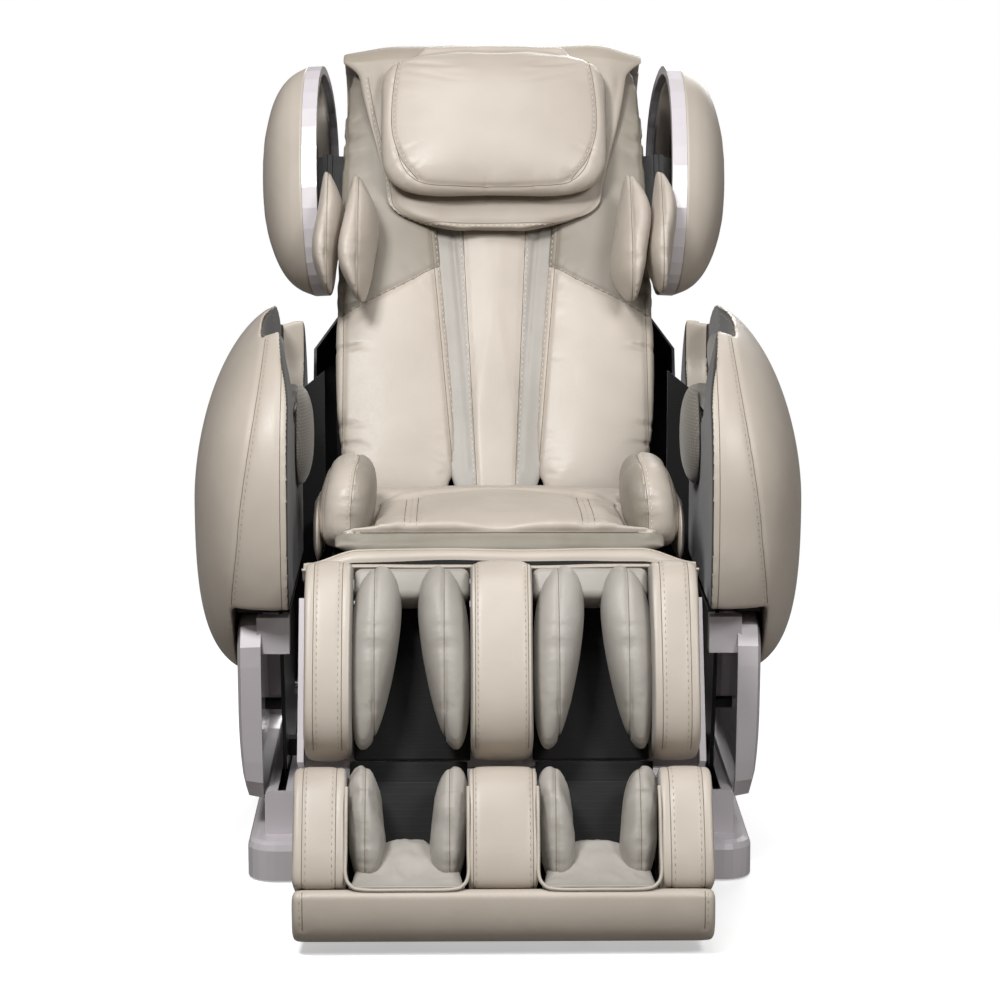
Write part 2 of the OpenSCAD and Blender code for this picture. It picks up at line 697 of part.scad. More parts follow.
recline_ax = 70;                         // X of the recline actuator
recline_crank = 96;                      // radius of the crank under the recline axis
recline_half = 22.5;                     // half of the recline's range
leg_ax = -70;                            // X of the leg rest actuator
leg_crank = 66;                          // radius of the crank under the leg rest axis
leg_half = 32.5;                         // half of the leg rest's range
crank_pin_r = 6;
eye_play_recline = 5.0;                  // open pivot: the crank pin's sideways path inside the rod's eye
eye_play_leg = 6.8;
seat_tubes = [leg_y + 40, leg_y + seat_l*0.36, tilt_y - 34];
recline_tail = seat_tubes[1] - 26;       // tail pivot of the recline actuator
leg_tail = seat_tubes[2] - 28;           // tail pivot of the leg rest actuator

// Height of an actuator's line: midway between the crank pin's highest and lowest places
function rod_z(axis_z, crank, half) = axis_z - crank*(1 + cos(half))/2;
function recline_pin_y() = recline_y + recline_crank*sin(recline_half);
function leg_pin_y() = leg_y + leg_crank*sin(leg_half);

// Motor, gearbox and tube of an actuator lying along Y, from its tail to its nose
module actuator(x, z, tail_y, nose_y) {
    dir = sign(nose_y - tail_y);
    len_all = abs(nose_y - tail_y);
    translate([x, tail_y, z]) scale_y(dir) {
        difference() {
            union() {
                tube_part(10, len_all, actuator_r);
                box([-14 + 0.6, -13, -12], [14 - 0.6, 16, 12]);
                box([-actuator_r, 14, -actuator_r], [actuator_r, 44, actuator_r]);
            }
            bar_x(-20, 20, 6 + run_fit);
            translate([0, 50, 0]) rotate([-90, 0, 0]) cylinder(h = len_all, r = 9.5, $fn = 48);
        }
        translate([0, 20, -actuator_r - 14]) rotate([-90, 0, 0]) cylinder(h = 70, r = 14, $fn = 48);
    }
}

// Mirrors its children along Y when dir is -1
module scale_y(dir) {
    mirror([0, dir < 0 ? 1 : 0, 0]) children();
}

// A round length along Y
module tube_part(y1, y2, r) {
    translate([0, y1, 0]) rotate([-90, 0, 0]) cylinder(h = y2 - y1, r = r, $fn = 48);
}

// Rod of an actuator, with the eye that the crank's pin passes through
module actuator_rod(x, z, eye_y, root_y, play) {
    dir = sign(eye_y - root_y);
    reach = abs(eye_y - root_y);
    bore = crank_pin_r + play;
    translate([x, root_y, z]) scale_y(dir) difference() {
        union() {
            tube_part(0, reach - bore - 1, 9);
            translate([0, reach, 0]) bar_x(-7, 7, bore + 7);
        }
        translate([0, reach, 0]) bar_x(-8, 8, bore);
    }
}

recline_nose = recline_y - recline_crank*sin(recline_half) - 26;
leg_nose = leg_pin_y() + 46;
recline_rod_z = rod_z(hinge_z, recline_crank, recline_half);
leg_rod_z = rod_z(leg_z, leg_crank, leg_half);

module recline_actuator() {
    color([0.13, 0.13, 0.14]) actuator(recline_ax, recline_rod_z, recline_tail, recline_nose);
}

module recline_rod() {
    color([0.70, 0.71, 0.73])
        actuator_rod(recline_ax, recline_rod_z, recline_pin_y(), recline_nose - 14, eye_play_recline);
}

module leg_actuator() {
    color([0.13, 0.13, 0.14]) actuator(leg_ax, leg_rod_z, leg_tail, leg_nose);
}

module leg_rod() {
    color([0.70, 0.71, 0.73])
        actuator_rod(leg_ax, leg_rod_z, leg_pin_y(), leg_nose + 96, eye_play_leg);
}

// Backrest ----------------------------------------------------------------------
// In this section Z runs up the back from the recline axis and -Y faces the sitter.

shell_step = 420;                        // height up to which the rear shell is wider
pad_back = -15;                          // rear face of the back cushions
pad_front = pad_back - back_pad_t;       // front face of the back cushions
track_x = back_w/2 - 40;                 // middle of a track rail
track_y = 12;
track_d = 32;
track_w = 30;
back_foot = 62;                          // lower end of the cushions
shell_y = track_y + track_d + seat_fit;  // front edge of the rear shell
shell_top = back_l - 30;                 // upper end of the rear shell

// C-section tracks, cross members, hinge lugs and the crank of the recline
module back_frame() {
    low = -26;
    high = back_l - 40;
    lug_x = seat_w/2 - 34;
    color([0.09, 0.09, 0.10]) in_back() {
        for (side = [-1, 1]) to_side(side) {
            translate([track_x - track_w/2, track_y, back_foot]) linear_extrude(high - back_foot) polygon([
                [0, 0], [track_w, 0], [track_w, track_d], [0, track_d], [0, track_d - 3],
                [track_w - 3, track_d - 3], [track_w - 3, 3], [0, 3]
            ]);
            difference() {
                union() {
                    box([lug_x, -12, low], [lug_x + 10, track_y + track_d, back_foot]);
                    bar_x(lug_x, lug_x + 10, 24);
                }
                bar_x(lug_x - 1, lug_x + 11, shaft_r + run_fit);
            }
        }
        for (z = [back_foot + 4, high - 34])
            box([-track_x + track_w/2, track_y + 2, z], [track_x - track_w/2, track_y + 28, z + 26]);
        box([-lug_x, track_y + 14, low + 52], [lug_x, track_y + 30, back_foot]);
        for (side = [-1, 1]) to_side(side) {
            box([track_x - 30, pad_back + seat_fit, back_foot], [track_x + 10, track_y, high]);
            box([track_x + track_w/2 - 1, track_y + 4, wing_z - 60], [wing_x - 1, track_y + 10, wing_z + 60]);
        }
        recline_crank_arm();
    }
    for (side = [-1, 1]) color([0.09, 0.09, 0.10]) in_wing(side)
        box([20, -60, -4], [44, 60, panel_in - seat_fit]);
}

// Fork below the recline axis whose pin drives the backrest
module recline_crank_arm() {
    swing = recline_half + back_angle;
    for (s = [-1, 1]) translate([recline_ax + s*12 - 3, 0, 0]) rotate([swing, 0, 0]) difference() {
        union() {
            box([0, -9, -recline_crank], [6, 13, -16]);
            translate([0, 0, -recline_crank]) bar_x(0, 6, 12);
            translate([0, 0, 0]) bar_x(0, 6, 22);
        }
        translate([0, 0, 0]) bar_x(-1, 7, shaft_r + run_fit);
        translate([0, 0, -recline_crank]) bar_x(-1, 7, crank_pin_r + 0.02);
    }
    rotate([swing, 0, 0]) translate([0, 0, -recline_crank]) bar_x(recline_ax - 15, recline_ax + 15, crank_pin_r);
    for (s = [-1, 1]) translate([recline_ax + s*12 - 3, 0, 0])
        box([1, shaft_r + 4, -8], [5, track_y + 14, back_foot - 10]);
}

// Moulded rear shell of the backrest, wider where it stands between the arms
module back_shell() {
    half_w = back_w/2 - 2;
    wide = (arm_x - 10 - half_w)/half_w;
    color([0.14, 0.14, 0.15]) in_back() translate([0, shell_y, shell_half + 4])
        rotate([-90, 0, 0]) mirror([0, 1, 0])
            dish(oval(half_w, shell_half, 5, 44), shell_d, shell_wall, half_w, n = 4, k = 5,
                 warp = function (p) let (low = min(1, max(0, (shell_step - p.y - shell_half)/60)))
                     [p.x*(1 + wide*low*low*(3 - 2*low)), p.y, p.z*shell_slim(p.y/shell_half)]);
}

shell_half = (shell_top - 4)/2;          // half the length of the rear shell

// The rear shell gets slimmer towards the head, v being -1 at its foot and 1 at its top
function shell_slim(v) = 1 - 0.35*pow(max(0, v), 3);

// How deep the rear shell is at a height above the recline axis
function shell_rear(z) = let (v = (z - 4 - shell_half)/shell_half)
    shell_d*pow(max(0, 1 - pow(abs(v), 4)), 1/4)*shell_slim(v);

// Half the width of the padding over the spine, at a height above the recline axis
function spine_half(z) = 52 + 46*min(1, max(0, (z - back_foot)/(0.62*back_l)));

// Two air-filled cushions left and right of the spine, with puffed outer edges
module back_cushions() {
    top = back_l - 14;
    half_l = (top - back_foot)/2;
    unit = 100;
    color([0.74, 0.71, 0.65]) in_back() for (side = [-1, 1]) to_side(side)
        translate([0, pad_back - back_pad_t*0.35, back_foot + half_l]) facing_front()
            pad(oval(unit, half_l, 6, 32), back_pad_t*0.65, back_pad_t*0.35, n = 3, k = 4, warp = function (p) let (
                inner = spine_half(p.y + back_foot + half_l),
                outer = back_w/2*(1 - 0.035*pow(sin(90*p.y/half_l + 30), 2)),
                at_edge = max(0, p.x/unit),
                puff = 0.12*cos(360*p.y/150)*at_edge
            ) [(inner + outer)/2 + p.x/unit*(outer - inner)/2, p.y, p.z*(1 + puff)]);
}

// Padding over the spine: a flat middle panel between two sunken strips, wider at the top
module spine_cushion() {
    top = back_l - 60;
    half_l = (top - back_foot)/2;
    unit = 100;
    color([0.76, 0.73, 0.68]) in_back()
        translate([0, pad_back - back_pad_t*0.35, back_foot + half_l]) facing_front()
            pad(oval(unit, half_l, 8, 32), 14, back_pad_t*0.35, n = 4, k = 4, warp = function (p) let (
                half = spine_half(p.y + back_foot + half_l) - 3*seat_fit,
                valley = exp(-pow((abs(p.x)/unit - 0.74)/0.16, 2))
            ) [p.x/unit*half, p.y, p.z > 0 ? p.z*(1 - 0.75*valley) : p.z]);
}

// Draped leather cover over the head end, front to back
cover_t = 18;
drape_low = back_l*0.60;
drape_top = back_l - 34;
drape_bend = 34;
function drape_half_w(z) = let (u = (z - drape_low)/(back_l - drape_low))
    u <= 0 ? 20 : min(back_w/2 - 8, 20 + (back_w/2 - 42)*pow(u, 0.36) + 14*u);

// The cover's path up the front, over the top and down the rear, as [y, z, turn]
function drape_path(front_y, rear_y) = concat(
    [for (u = [0, 0.05, 0.14, 0.3, 0.5, 0.75, 1]) [front_y, drape_low + 6 + u*(back_l - 40 - drape_low), 0]],
    [for (t = [0 : 30 : 90]) [front_y + drape_bend*(1 - cos(t)), drape_top + drape_bend*sin(t), t]],
    [for (t = [0 : 30 : 90]) [rear_y - drape_bend*(1 - sin(t)), drape_top + drape_bend*cos(t), 90 + t]],
    [for (z = [back_l - 80 : -20 : back_l - 140]) [shell_y + shell_rear(z) + 4*seat_fit + cover_t/2, z, 180 - 18]]
);

module head_cover() {
    front_y = pad_front - seat_fit - cover_t/2;
    rear_y = shell_y + shell_rear(back_l - 80) + seat_fit + cover_t/2;
    path = drape_path(front_y, rear_y);
    last = path[len(path) - 1];
    color([0.78, 0.74, 0.67]) in_back() skin(
        [0, path[0][0], path[0][1]],
        [for (i = [0 : len(path) - 1]) let (half = i < 7 ? drape_half_w(path[i][1]) : back_w/2 - 10) [
            for (q = oval(half, cover_t/2, 5, 16))
                [q.x, path[i][0] - q.y*cos(path[i][2]), path[i][1] + q.y*sin(path[i][2])]
        ]],
        [0, last[0], last[1]]);
}

pillow_y = pad_front - 2*seat_fit - cover_t - 22;
pillow_top = back_l - 42;
flap_z = pillow_top + 14;                // axis on which the pillow is thrown back over the top

// Head pillow with drawn-in corners, and the strap that holds it at its top edge
module head_pillow() {
    half_h = pillow_h/2;
    half_w = pillow_w/2;
    color([0.82, 0.78, 0.72]) in_back() {
        translate([0, pillow_y, pillow_top - half_h]) facing_front()
            pad(oval(half_w, half_h, 4.2, 32), 40, 22, n = 2.7, k = 4, warp = function (p) let (
                low = max(0, -p.y/half_h),
                high = max(0, p.y/half_h)
            ) [p.x*(1 - 0.22*pow(low, 2.2) - 0.12*pow(high, 1.8)), p.y, p.z]);
        box([-118, pillow_y - 3, pillow_top - 6], [118, pillow_y + 3, flap_z]);
        translate([0, pillow_y, flap_z]) bar_x(-118, 118, 5);
    }
}

// Shoulder wings: outer shell, silver rim, dark inner panel
wing_z = back_l - wing_h/2 - 34;
wing_y = -10;
wing_x = back_w/2 + 2 + wing_d/2*sin(wing_flare);

panel_in = 4;                            // inner face of a wing's dark panel

function wing_outline(shrink) = egg(wing_d/2*shrink, wing_h/2*shrink, 0.10, 2.3, 36);

// The wing's own frame: built outwards from its inner face, opened towards the front
module in_wing(side) {
    in_back() to_side(side) translate([wing_x, wing_y, wing_z]) rotate([0, 0, wing_flare]) facing_out() children();
}

module wing_shell(side) {
    color([0.78, 0.74, 0.67]) in_wing(side) translate([0, 0, rim_t + seat_fit])
        dish(wing_outline(1), wing_bulge, 6, wing_d/2, n = 2.2, k = 4);
}

module wing_rim(side) {
    color([0.80, 0.79, 0.82]) in_wing(side) linear_extrude(rim_t) difference() {
        polygon(wing_outline(1));
        polygon(wing_outline(0.93));
    }
}

module wing_panel(side) {
    color([0.05, 0.05, 0.06]) in_wing(side) translate([0, 0, panel_in + 4])
        pad(wing_outline(0.928), 15, 4, n = 3, k = 3);
}

// Leaf-shaped airbags that close on the shoulders, two on each side
module shoulder_pads(side) {
    color([0.66, 0.63, 0.58]) in_back() to_side(side) {
        translate([back_w/2 + 10, pad_front - 66, wing_z - wing_h*0.36 - 2]) rotate([0, 0, 5]) facing_out()
            pad(egg(56, 108, -0.18, 2.2, 20), 18, 18, n = 2.1, k = 3);
        translate([back_w/2 - 40, pad_front - 55.8, wing_z - wing_h*0.36 - 14]) rotate([0, 0, 12]) facing_out()
            pad(egg(56, 112, -0.18, 2.2, 20), 18, 18, n = 2.1, k = 3);
    }
}

// Massage mechanism ---------------------------------------------------------------

knead_z = 255;                           // kneading shaft above the recline axis, at the low end of its travel
knead_y = 50;
knead_x = 74;                            // middle of a kneading arm
roller_reach = 70;                       // rollers above and below the kneading shaft
roller_y = 24;
roller_w = 30;
roller_pin_r = 6;
knead_shaft_r = 9;
knead_boss_t = 8;                        // half the thickness of a kneading arm's bosses

// Gear housing, kneading shaft and the shoes that run in the tracks
module massage_carriage() {
    shoe_w = track_w - 3 - slide_fit;
    shoe_in = track_x - track_w/2 - 10;
    color([0.17, 0.17, 0.18]) in_back() translate([0, 0, knead_z]) {
        difference() {
            union() {
                box([-140, knead_y + 22, -58], [140, knead_y + 62, 58]);
                for (s = [-1, 1]) {
                    translate([s*70, knead_y + 38, 58]) cylinder(h = 46, r = 24, $fn = 48);
                    box([s*126 - 8, knead_y - 14, -22], [s*126 + 8, knead_y + 24, 22]);
                }
            }
            translate([0, knead_y, 0]) bar_x(-150, 150, knead_shaft_r + 0.02);
        }
        translate([0, knead_y, 0]) bar_x(-134, 134, knead_shaft_r);
        for (s = [-1, 1]) for (z = [-48, 30]) to_side(s) {
            box([140, track_y + 8, z], [shoe_in + 1, knead_y + 40, z + 18]);
            box([shoe_in + 1, track_y + 3 + slide_fit, z], [track_x + track_w/2 - 3 - slide_fit, track_y + track_d - 3 - slide_fit, z + 18]);
        }
    }
}

// Rocking arm that carries an upper and a lower roller: a thin web between thicker bosses
module kneading_arm(side) {
    color([0.75, 0.75, 0.72]) in_back() translate([side*knead_x, 0, knead_z]) {
        difference() {
            union() {
                translate([0, knead_y, 0]) bar_x(-knead_boss_t, knead_boss_t, 20);
                for (s = [-1, 1]) {
                    flat_bar([knead_y, s*8], [roller_y, s*roller_reach], knead_boss_t - 2, 9);
                    translate([0, roller_y, s*roller_reach]) bar_x(-knead_boss_t, knead_boss_t, 12);
                }
            }
            translate([0, knead_y, 0]) bar_x(-knead_boss_t - 2, knead_boss_t + 2, knead_shaft_r + run_fit);
        }
        for (s = [-1, 1]) translate([0, roller_y, s*roller_reach]) to_side(side) {
            bar_x(knead_boss_t, knead_boss_t + roller_w + 4, roller_pin_r);
            bar_x(knead_boss_t + roller_w + 1, knead_boss_t + roller_w + 4, 11);
        }
    }
}

// A flat bar between two YZ places
module flat_bar(a, b, half_t, half_w) {
    angle = atan2(b[1] - a[1], b[0] - a[0]);
    reach = norm([b[0] - a[0], b[1] - a[1]]);
    translate([0, a[0], a[1]]) rotate([angle, 0, 0]) box([-half_t, 0, -half_w], [half_t, reach, half_w]);
}

// Massage roller: a barrel with a rounded rim
module roller(side, up) {
    inner = knead_boss_t + 0.5;
    points = concat(
        [[roller_pin_r + run_fit, 0]],
        [for (t = [0 : 15 : 90]) [roller_r - 6 + 6*sin(t), 6 - 6*cos(t)]],
        [for (t = [0 : 15 : 90]) [roller_r - 6 + 6*cos(t), roller_w - 6 + 6*sin(t)]],
        [[roller_pin_r + run_fit, roller_w]]
    );
    color([0.88, 0.86, 0.80]) in_back() translate([side*knead_x, roller_y, knead_z + up*roller_reach])
        to_side(side) translate([inner, 0, 0]) rotate([0, 90, 0]) rotate_extrude($fn = 64) polygon(points);
}

// Leg rest ---------------------------------------------------------------------------
// In this section -Z runs down the leg from its hinge and -Y faces the calves.

calf_top = 20;                           // how far the calf unit stands above its hinge
calf_low = calf_l - calf_top;            // distance of its lower end below the hinge
panel_y = -20;                           // rear face of the calf and foot panels
panel_t = 12;
foot_top = calf_low + foot_gap;
sole = low_at(panel_t - panel_y) - heel_t;   // level of the soles below the hinge
heel_low = low_at(-panel_y) - 4;             // lower end of the rear panel
bolster_front = -leg_d;
well_mid = (mid_bolster_w/2 + calf_x - side_bolster_w)/2;
well_w = calf_x - side_bolster_w - mid_bolster_w/2;
rod_x = 120;
rod_r = 8;

// Distance below the hinge at which a point so far in front of it just clears the floor
function low_at(depth) = (leg_z - floor_gap + depth*sin(leg_angle))/cos(leg_angle);

// Hinge arms, cross tubes, rear panel, side strips, slide bushes and the crank of the leg rest
module leg_frame() {
    lug_x = seat_w/2 - 34;
    swing = leg_angle + leg_half;
    color([0.70, 0.69, 0.70]) in_leg() {
        for (side = [-1, 1]) to_side(side) {
            difference() {
                union() {
                    box([lug_x, panel_y, -calf_low + 30], [lug_x + 8, 12, 0]);
                    bar_x(lug_x, lug_x + 8, 20);
                }
                bar_x(lug_x - 1, lug_x + 9, shaft_r + run_fit);
            }
            box([calf_x + 2, -74, -calf_low - 2], [calf_x + 11, 14, -24]);
            difference() {
                union() {
                    translate([rod_x, 0, -calf_low + 14]) cylinder(h = 60, r = rod_r + 6, $fn = 48);
                    box([rod_x - 10, panel_y, -calf_low + 14], [rod_x + 10, -9, -calf_low + 74]);
                }
                translate([rod_x, 0, -calf_low]) cylinder(h = 100, r = rod_r + run_fit, $fn = 48);
            }
        }
        box([-calf_x - 2, panel_y - panel_t, -calf_low], [calf_x + 2, panel_y, -26]);
        for (z = [-90, -calf_low + 90]) box([-lug_x, panel_y, z], [lug_x, panel_y + 10, z + 18]);
        for (s = [-1, 1]) translate([leg_ax + s*12 - 3, 0, 0]) {
            rotate([swing, 0, 0]) difference() {
                union() {
                    box([0, -9, -leg_crank], [6, 9, 0]);
                    translate([0, 0, -leg_crank]) bar_x(0, 6, 12);
                    bar_x(0, 6, 18);
                }
                bar_x(-1, 7, shaft_r + run_fit);
                translate([0, 0, -leg_crank]) bar_x(-1, 7, crank_pin_r + 0.02);
            }
            box([1, panel_y, -80], [5, -6, -12]);
        }
        rotate([swing, 0, 0]) translate([0, 0, -leg_crank]) bar_x(leg_ax - 15, leg_ax + 15, crank_pin_r);
    }
}

// Side outline of a calf bolster, as [y, z] from its rear foot round the front to its rear top
function calf_profile() = let (r = panel_y - panel_t - seat_fit, f = bolster_front, a = -calf_low, b = calf_top) [
    [r, a + 6], [f + 95, a], [f + 50, a + 4], [f + 26, a + 16], [f + 10, a + 42], [f + 2, a + 80],
    [f, a + 125], [f + 1, b - 110], [f + 6, b - 62], [f + 16, b - 30], [f + 34, b - 10], [f + 62, b],
    [f + 84, b - 6], [f + 96, b - 14], [r, b - 16], [r, b - 60], [r, a + 80]
];

// Side outline of a foot bolster
function foot_profile() = let (r = panel_y - panel_t - seat_fit, f = bolster_front, a = -sole + seat_fit, b = -foot_top) [
    [r, a + 2], [f + 60, a], [f + 18, a], [f + 2, a + 1], [f - 4, a + 34], [f - 3, a + 70],
    [f + 2, b - 58], [f + 10, b - 32], [f + 26, b - 12], [f + 52, b - 2], [f + 90, b], [r, b - 8], [r, b - 50], [r, a + 60]
];

// A bolster: its side outline drawn in towards both faces
module bolster(profile, x1, x2) {
    mid = [for (k = [0, 1]) (max([for (p = profile) p[k]]) + min([for (p = profile) p[k]]))/2];
    half_w = (x2 - x1)/2;
    stations = [[0, 0.93], [4, 0.975], [15, 0.995], [half_w, 1]];
    places = concat(
        [for (q = stations) [x1 + q[0], q[1]]],
        [for (i = [2 : -1 : 0]) [x2 - stations[i][0], stations[i][1]]]
    );
    skin(
        [x1, mid[0], mid[1]],
        [
            for (q = places)
                [for (p = profile) [q[0], mid[0] + (p[0] - mid[0])*q[1], mid[1] + (p[1] - mid[1])*q[1]]]
        ],
        [x2, mid[0], mid[1]]);
}

// Quilted lining across the back of a well, between two X values and two heights
module lining(x1, x2, low, high) {
    rear = panel_y - panel_t - seat_fit;
    box([x1 + seat_fit, rear - 12, low], [x2 - seat_fit, rear, high]);
}

// Left, middle and right bolsters of the calf unit, with the lining of their channels
module calf_bolsters() {
    color([0.80, 0.76, 0.69]) in_leg() {
        inner = calf_x - side_bolster_w;
        for (side = [-1, 1]) to_side(side) {
            bolster(calf_profile(), inner, calf_x);
            lining(mid_bolster_w/2, inner, -calf_low + 8, 4);
        }
        bolster(calf_profile(), -mid_bolster_w/2, mid_bolster_w/2);
    }
}

// Leaf-shaped calf airbags, two in each channel, thick at the top where they lean together
module calf_pads() {
    half_h = calf_l/2 - 6;
    mid_z = calf_top - half_h - 4;
    mid_y = bolster_front + 71;
    color([0.70, 0.68, 0.64]) in_leg() for (side = [-1, 1]) to_side(side) for (s = [-1, 1])
        translate([well_mid + s*(well_w/2 - 31), mid_y, mid_z]) rotate([0, -s*4, 0]) facing_out()
            pad(egg(56, half_h, 0.10, 2.5, 18), 26, 26, n = 2.3, k = 3,
                warp = function (p) [p.x, p.y, p.z*(0.92 + 0.28*p.y/half_h)]);
}

// Rear panel of the foot unit and the rods on which it slides
module foot_frame() {
    color([0.70, 0.69, 0.70]) in_leg() {
        box([-leg_x + 2, panel_y - panel_t, -heel_low + 6], [leg_x - 2, panel_y, -foot_top]);
        for (side = [-1, 1]) to_side(side) {
            translate([rod_x, 0, -heel_low + 24]) cylinder(h = heel_low - 24 - 74, r = rod_r, $fn = 48);
            difference() {
                union() for (z = [-foot_top - 34, -heel_low + 20])
                    box([rod_x - 14, panel_y, z], [rod_x + 14, 13, z + 30]);
                translate([rod_x, 0, -heel_low]) cylinder(h = heel_low, r = rod_r + 0.02, $fn = 48);
            }
        }
    }
}

// Left, middle and right bolsters of the foot unit, with the lining of its wells
module foot_bolsters() {
    color([0.80, 0.76, 0.69]) in_leg() {
        inner = leg_x - side_bolster_w - 6;
        middle = mid_bolster_w/2 + 4;
        for (side = [-1, 1]) to_side(side) {
            bolster(foot_profile(), inner, leg_x);
            lining(middle, inner, -sole + 2, -foot_top - 8);
        }
        bolster(foot_profile(), -middle, middle);
    }
}

// Leather-covered lip under and in front of the toes, hollowed for the sole rollers
module foot_base() {
    r = panel_y - panel_t - seat_fit;
    f = bolster_front;
    toe = -low_at(leg_d - 24);
    outline = [
        [r, -sole], [r, -low_at(-r)], [f + 24, toe], [f + 12, toe + 2], [f + 4, toe + 10],
        [f, toe + 24], [f - 1, toe + 40], [f - 1, -sole - 8], [f + 4, -sole]
    ];
    color([0.72, 0.68, 0.61]) in_leg() difference() {
        bolster(outline, -leg_x, leg_x);
        for (s = [-1, 1]) to_side(s) {
            box([well_mid - 62, roller_row() - sole_roller_r - 4, -sole - 2*sole_roller_r - 5],
                [well_mid + 62, roller_row() + sole_roller_r + 4, -sole + 2]);
            translate([0, roller_row(), -sole - sole_roller_r - 2]) bar_x(well_mid - 70, well_mid + 70, 5 + run_fit);
        }
    }
}

function roller_row() = bolster_front + 66;

// Airbags beside the feet, two in each well, and the sole pads under them
module foot_pads() {
    half_h = (sole - foot_top)/2 - 8;
    front = bolster_front + 12;
    inner_w = leg_x - side_bolster_w - 6 - mid_bolster_w/2 - 4;
    mid_x = mid_bolster_w/2 + 4 + inner_w/2;
    color([0.70, 0.68, 0.64]) in_leg() for (side = [-1, 1]) to_side(side) {
        for (s = [-1, 1])
            translate([mid_x + s*(inner_w/2 - 16), front + 54, -foot_top - 6 - half_h + 4]) rotate([0, s*3, 0]) facing_out()
                pad(egg(50, half_h, 0.06, 2.8, 16), 15, 15, n = 2.4, k = 3);
        translate([mid_x, front + 56, -sole + seat_fit + 3.5])
            pad(oval(inner_w/2 - 44, 52, 4, 16), 7, 3.5, n = 2.6, k = 2);
    }
}

// Sole roller with three knobbed discs
module sole_roller(side) {
    color([0.30, 0.30, 0.31]) in_leg() translate([side*well_mid, roller_row(), -sole - sole_roller_r - 2]) {
        bar_x(-68, 68, 5);
        for (x = [-42, 0, 42]) rotate([0, 90, 0]) translate([0, 0, x]) difference() {
            cylinder(h = 20, r = sole_roller_r, center = true, $fn = 48);
            for (i = [0 : 5]) rotate([0, 0, 60*i]) translate([sole_roller_r + 2, 0, 0])
                cylinder(h = 22, r = 4.5, center = true, $fn = 24);
        }
    }
}

base_plinth();
base_frame();
rubber_feet();
slide_rails();
rail_covers();
power_inlet();
power_switch();
transport_wheel(-1);  // transport_wheel_left
transport_wheel(1);  // transport_wheel_right
carriage_frame();
rail_glides();
tilt_shaft();
air_pump();
control_box();
side_cover(-1);  // side_cover_left
side_cover(1);  // side_cover_right
arm_shell(-1);  // arm_shell_left
arm_shell(1);  // arm_shell_right
arm_pads(-1);  // arm_pads_left
arm_pads(1);  // arm_pads_right
seat_frame();
hinge_shafts();
seat_cushion();
seat_apron();
hip_bolster(-1);  // hip_bolster_left
hip_bolster(1);  // hip_bolster_right
recline_actuator();
recline_rod();
leg_actuator();
leg_rod();
back_frame();
back_shell();
back_cushions();
spine_cushion();
head_cover();
head_pillow();
wing_shell(-1);  // wing_shell_left
wing_shell(1);  // wing_shell_right
wing_rim(-1);  // wing_rim_left
wing_rim(1);  // wing_rim_right
wing_panel(-1);  // wing_panel_left
wing_panel(1);  // wing_panel_right
shoulder_pads(-1);  // shoulder_pads_left
shoulder_pads(1);  // shoulder_pads_right
massage_carriage();
kneading_arm(-1);  // kneading_arm_left
kneading_arm(1);  // kneading_arm_right
roller(-1, 1);  // roller_left_upper
roller(-1, -1);  // roller_left_lower
roller(1, 1);  // roller_right_upper
roller(1, -1);  // roller_right_lower
leg_frame();
calf_bolsters();
calf_pads();
foot_frame();
foot_bolsters();
foot_base();
foot_pads();
sole_roller(-1);  // sole_roller_left
sole_roller(1);  // sole_roller_right
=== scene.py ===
"""Looks of a home massage chair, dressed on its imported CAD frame: leather, seams, mouldings and light."""

import json
import logging
import math
from collections.abc import Callable, Iterable, Sequence
from dataclasses import dataclass, field
from enum import Enum
from typing import Any

import bmesh
import bpy
from mathutils import Matrix, Vector, noise
from mathutils.bvhtree import BVHTree
from mathutils.kdtree import KDTree


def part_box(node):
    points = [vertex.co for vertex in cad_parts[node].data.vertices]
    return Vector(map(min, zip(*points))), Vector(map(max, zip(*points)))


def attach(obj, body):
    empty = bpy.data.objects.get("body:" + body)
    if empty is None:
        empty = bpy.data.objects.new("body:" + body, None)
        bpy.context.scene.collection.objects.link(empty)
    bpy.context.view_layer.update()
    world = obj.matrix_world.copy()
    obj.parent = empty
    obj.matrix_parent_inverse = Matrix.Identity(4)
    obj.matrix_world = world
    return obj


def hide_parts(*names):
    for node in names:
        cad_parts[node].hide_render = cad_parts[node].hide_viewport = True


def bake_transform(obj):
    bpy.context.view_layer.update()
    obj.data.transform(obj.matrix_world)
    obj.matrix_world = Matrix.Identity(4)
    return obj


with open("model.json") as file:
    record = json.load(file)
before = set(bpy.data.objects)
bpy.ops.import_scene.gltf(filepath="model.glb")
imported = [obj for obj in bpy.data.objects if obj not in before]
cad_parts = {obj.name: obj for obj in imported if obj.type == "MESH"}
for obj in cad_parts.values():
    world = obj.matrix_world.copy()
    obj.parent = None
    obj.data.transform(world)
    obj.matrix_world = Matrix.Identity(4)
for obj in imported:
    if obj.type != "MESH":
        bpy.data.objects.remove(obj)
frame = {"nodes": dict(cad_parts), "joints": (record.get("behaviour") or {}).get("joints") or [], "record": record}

log = logging.getLogger("massage_chair")

MM = 0.001
X, Y, Z = Vector((1, 0, 0)), Vector((0, 1, 0)), Vector((0, 0, 1))
BACK_ANGLE = math.radians(30)    # lean of the backrest from upright
LEG_ANGLE = math.radians(27)     # swing of the leg rest from hanging
SIDES = {"left": -1, "right": 1}

Ray = tuple[Vector, Vector | None]    # where it starts, and its way or None for the nearest place
Socket = bpy.types.NodeSocket
Tree = bpy.types.NodeTree
Piece = bpy.types.Object
Mesh = bmesh.types.BMesh


def joint_place(name: str) -> Vector:
    """Where a hinge's axis lies, in metres."""
    return Vector(next(j["pos_m"] for j in frame["joints"] if j["name"] == name))


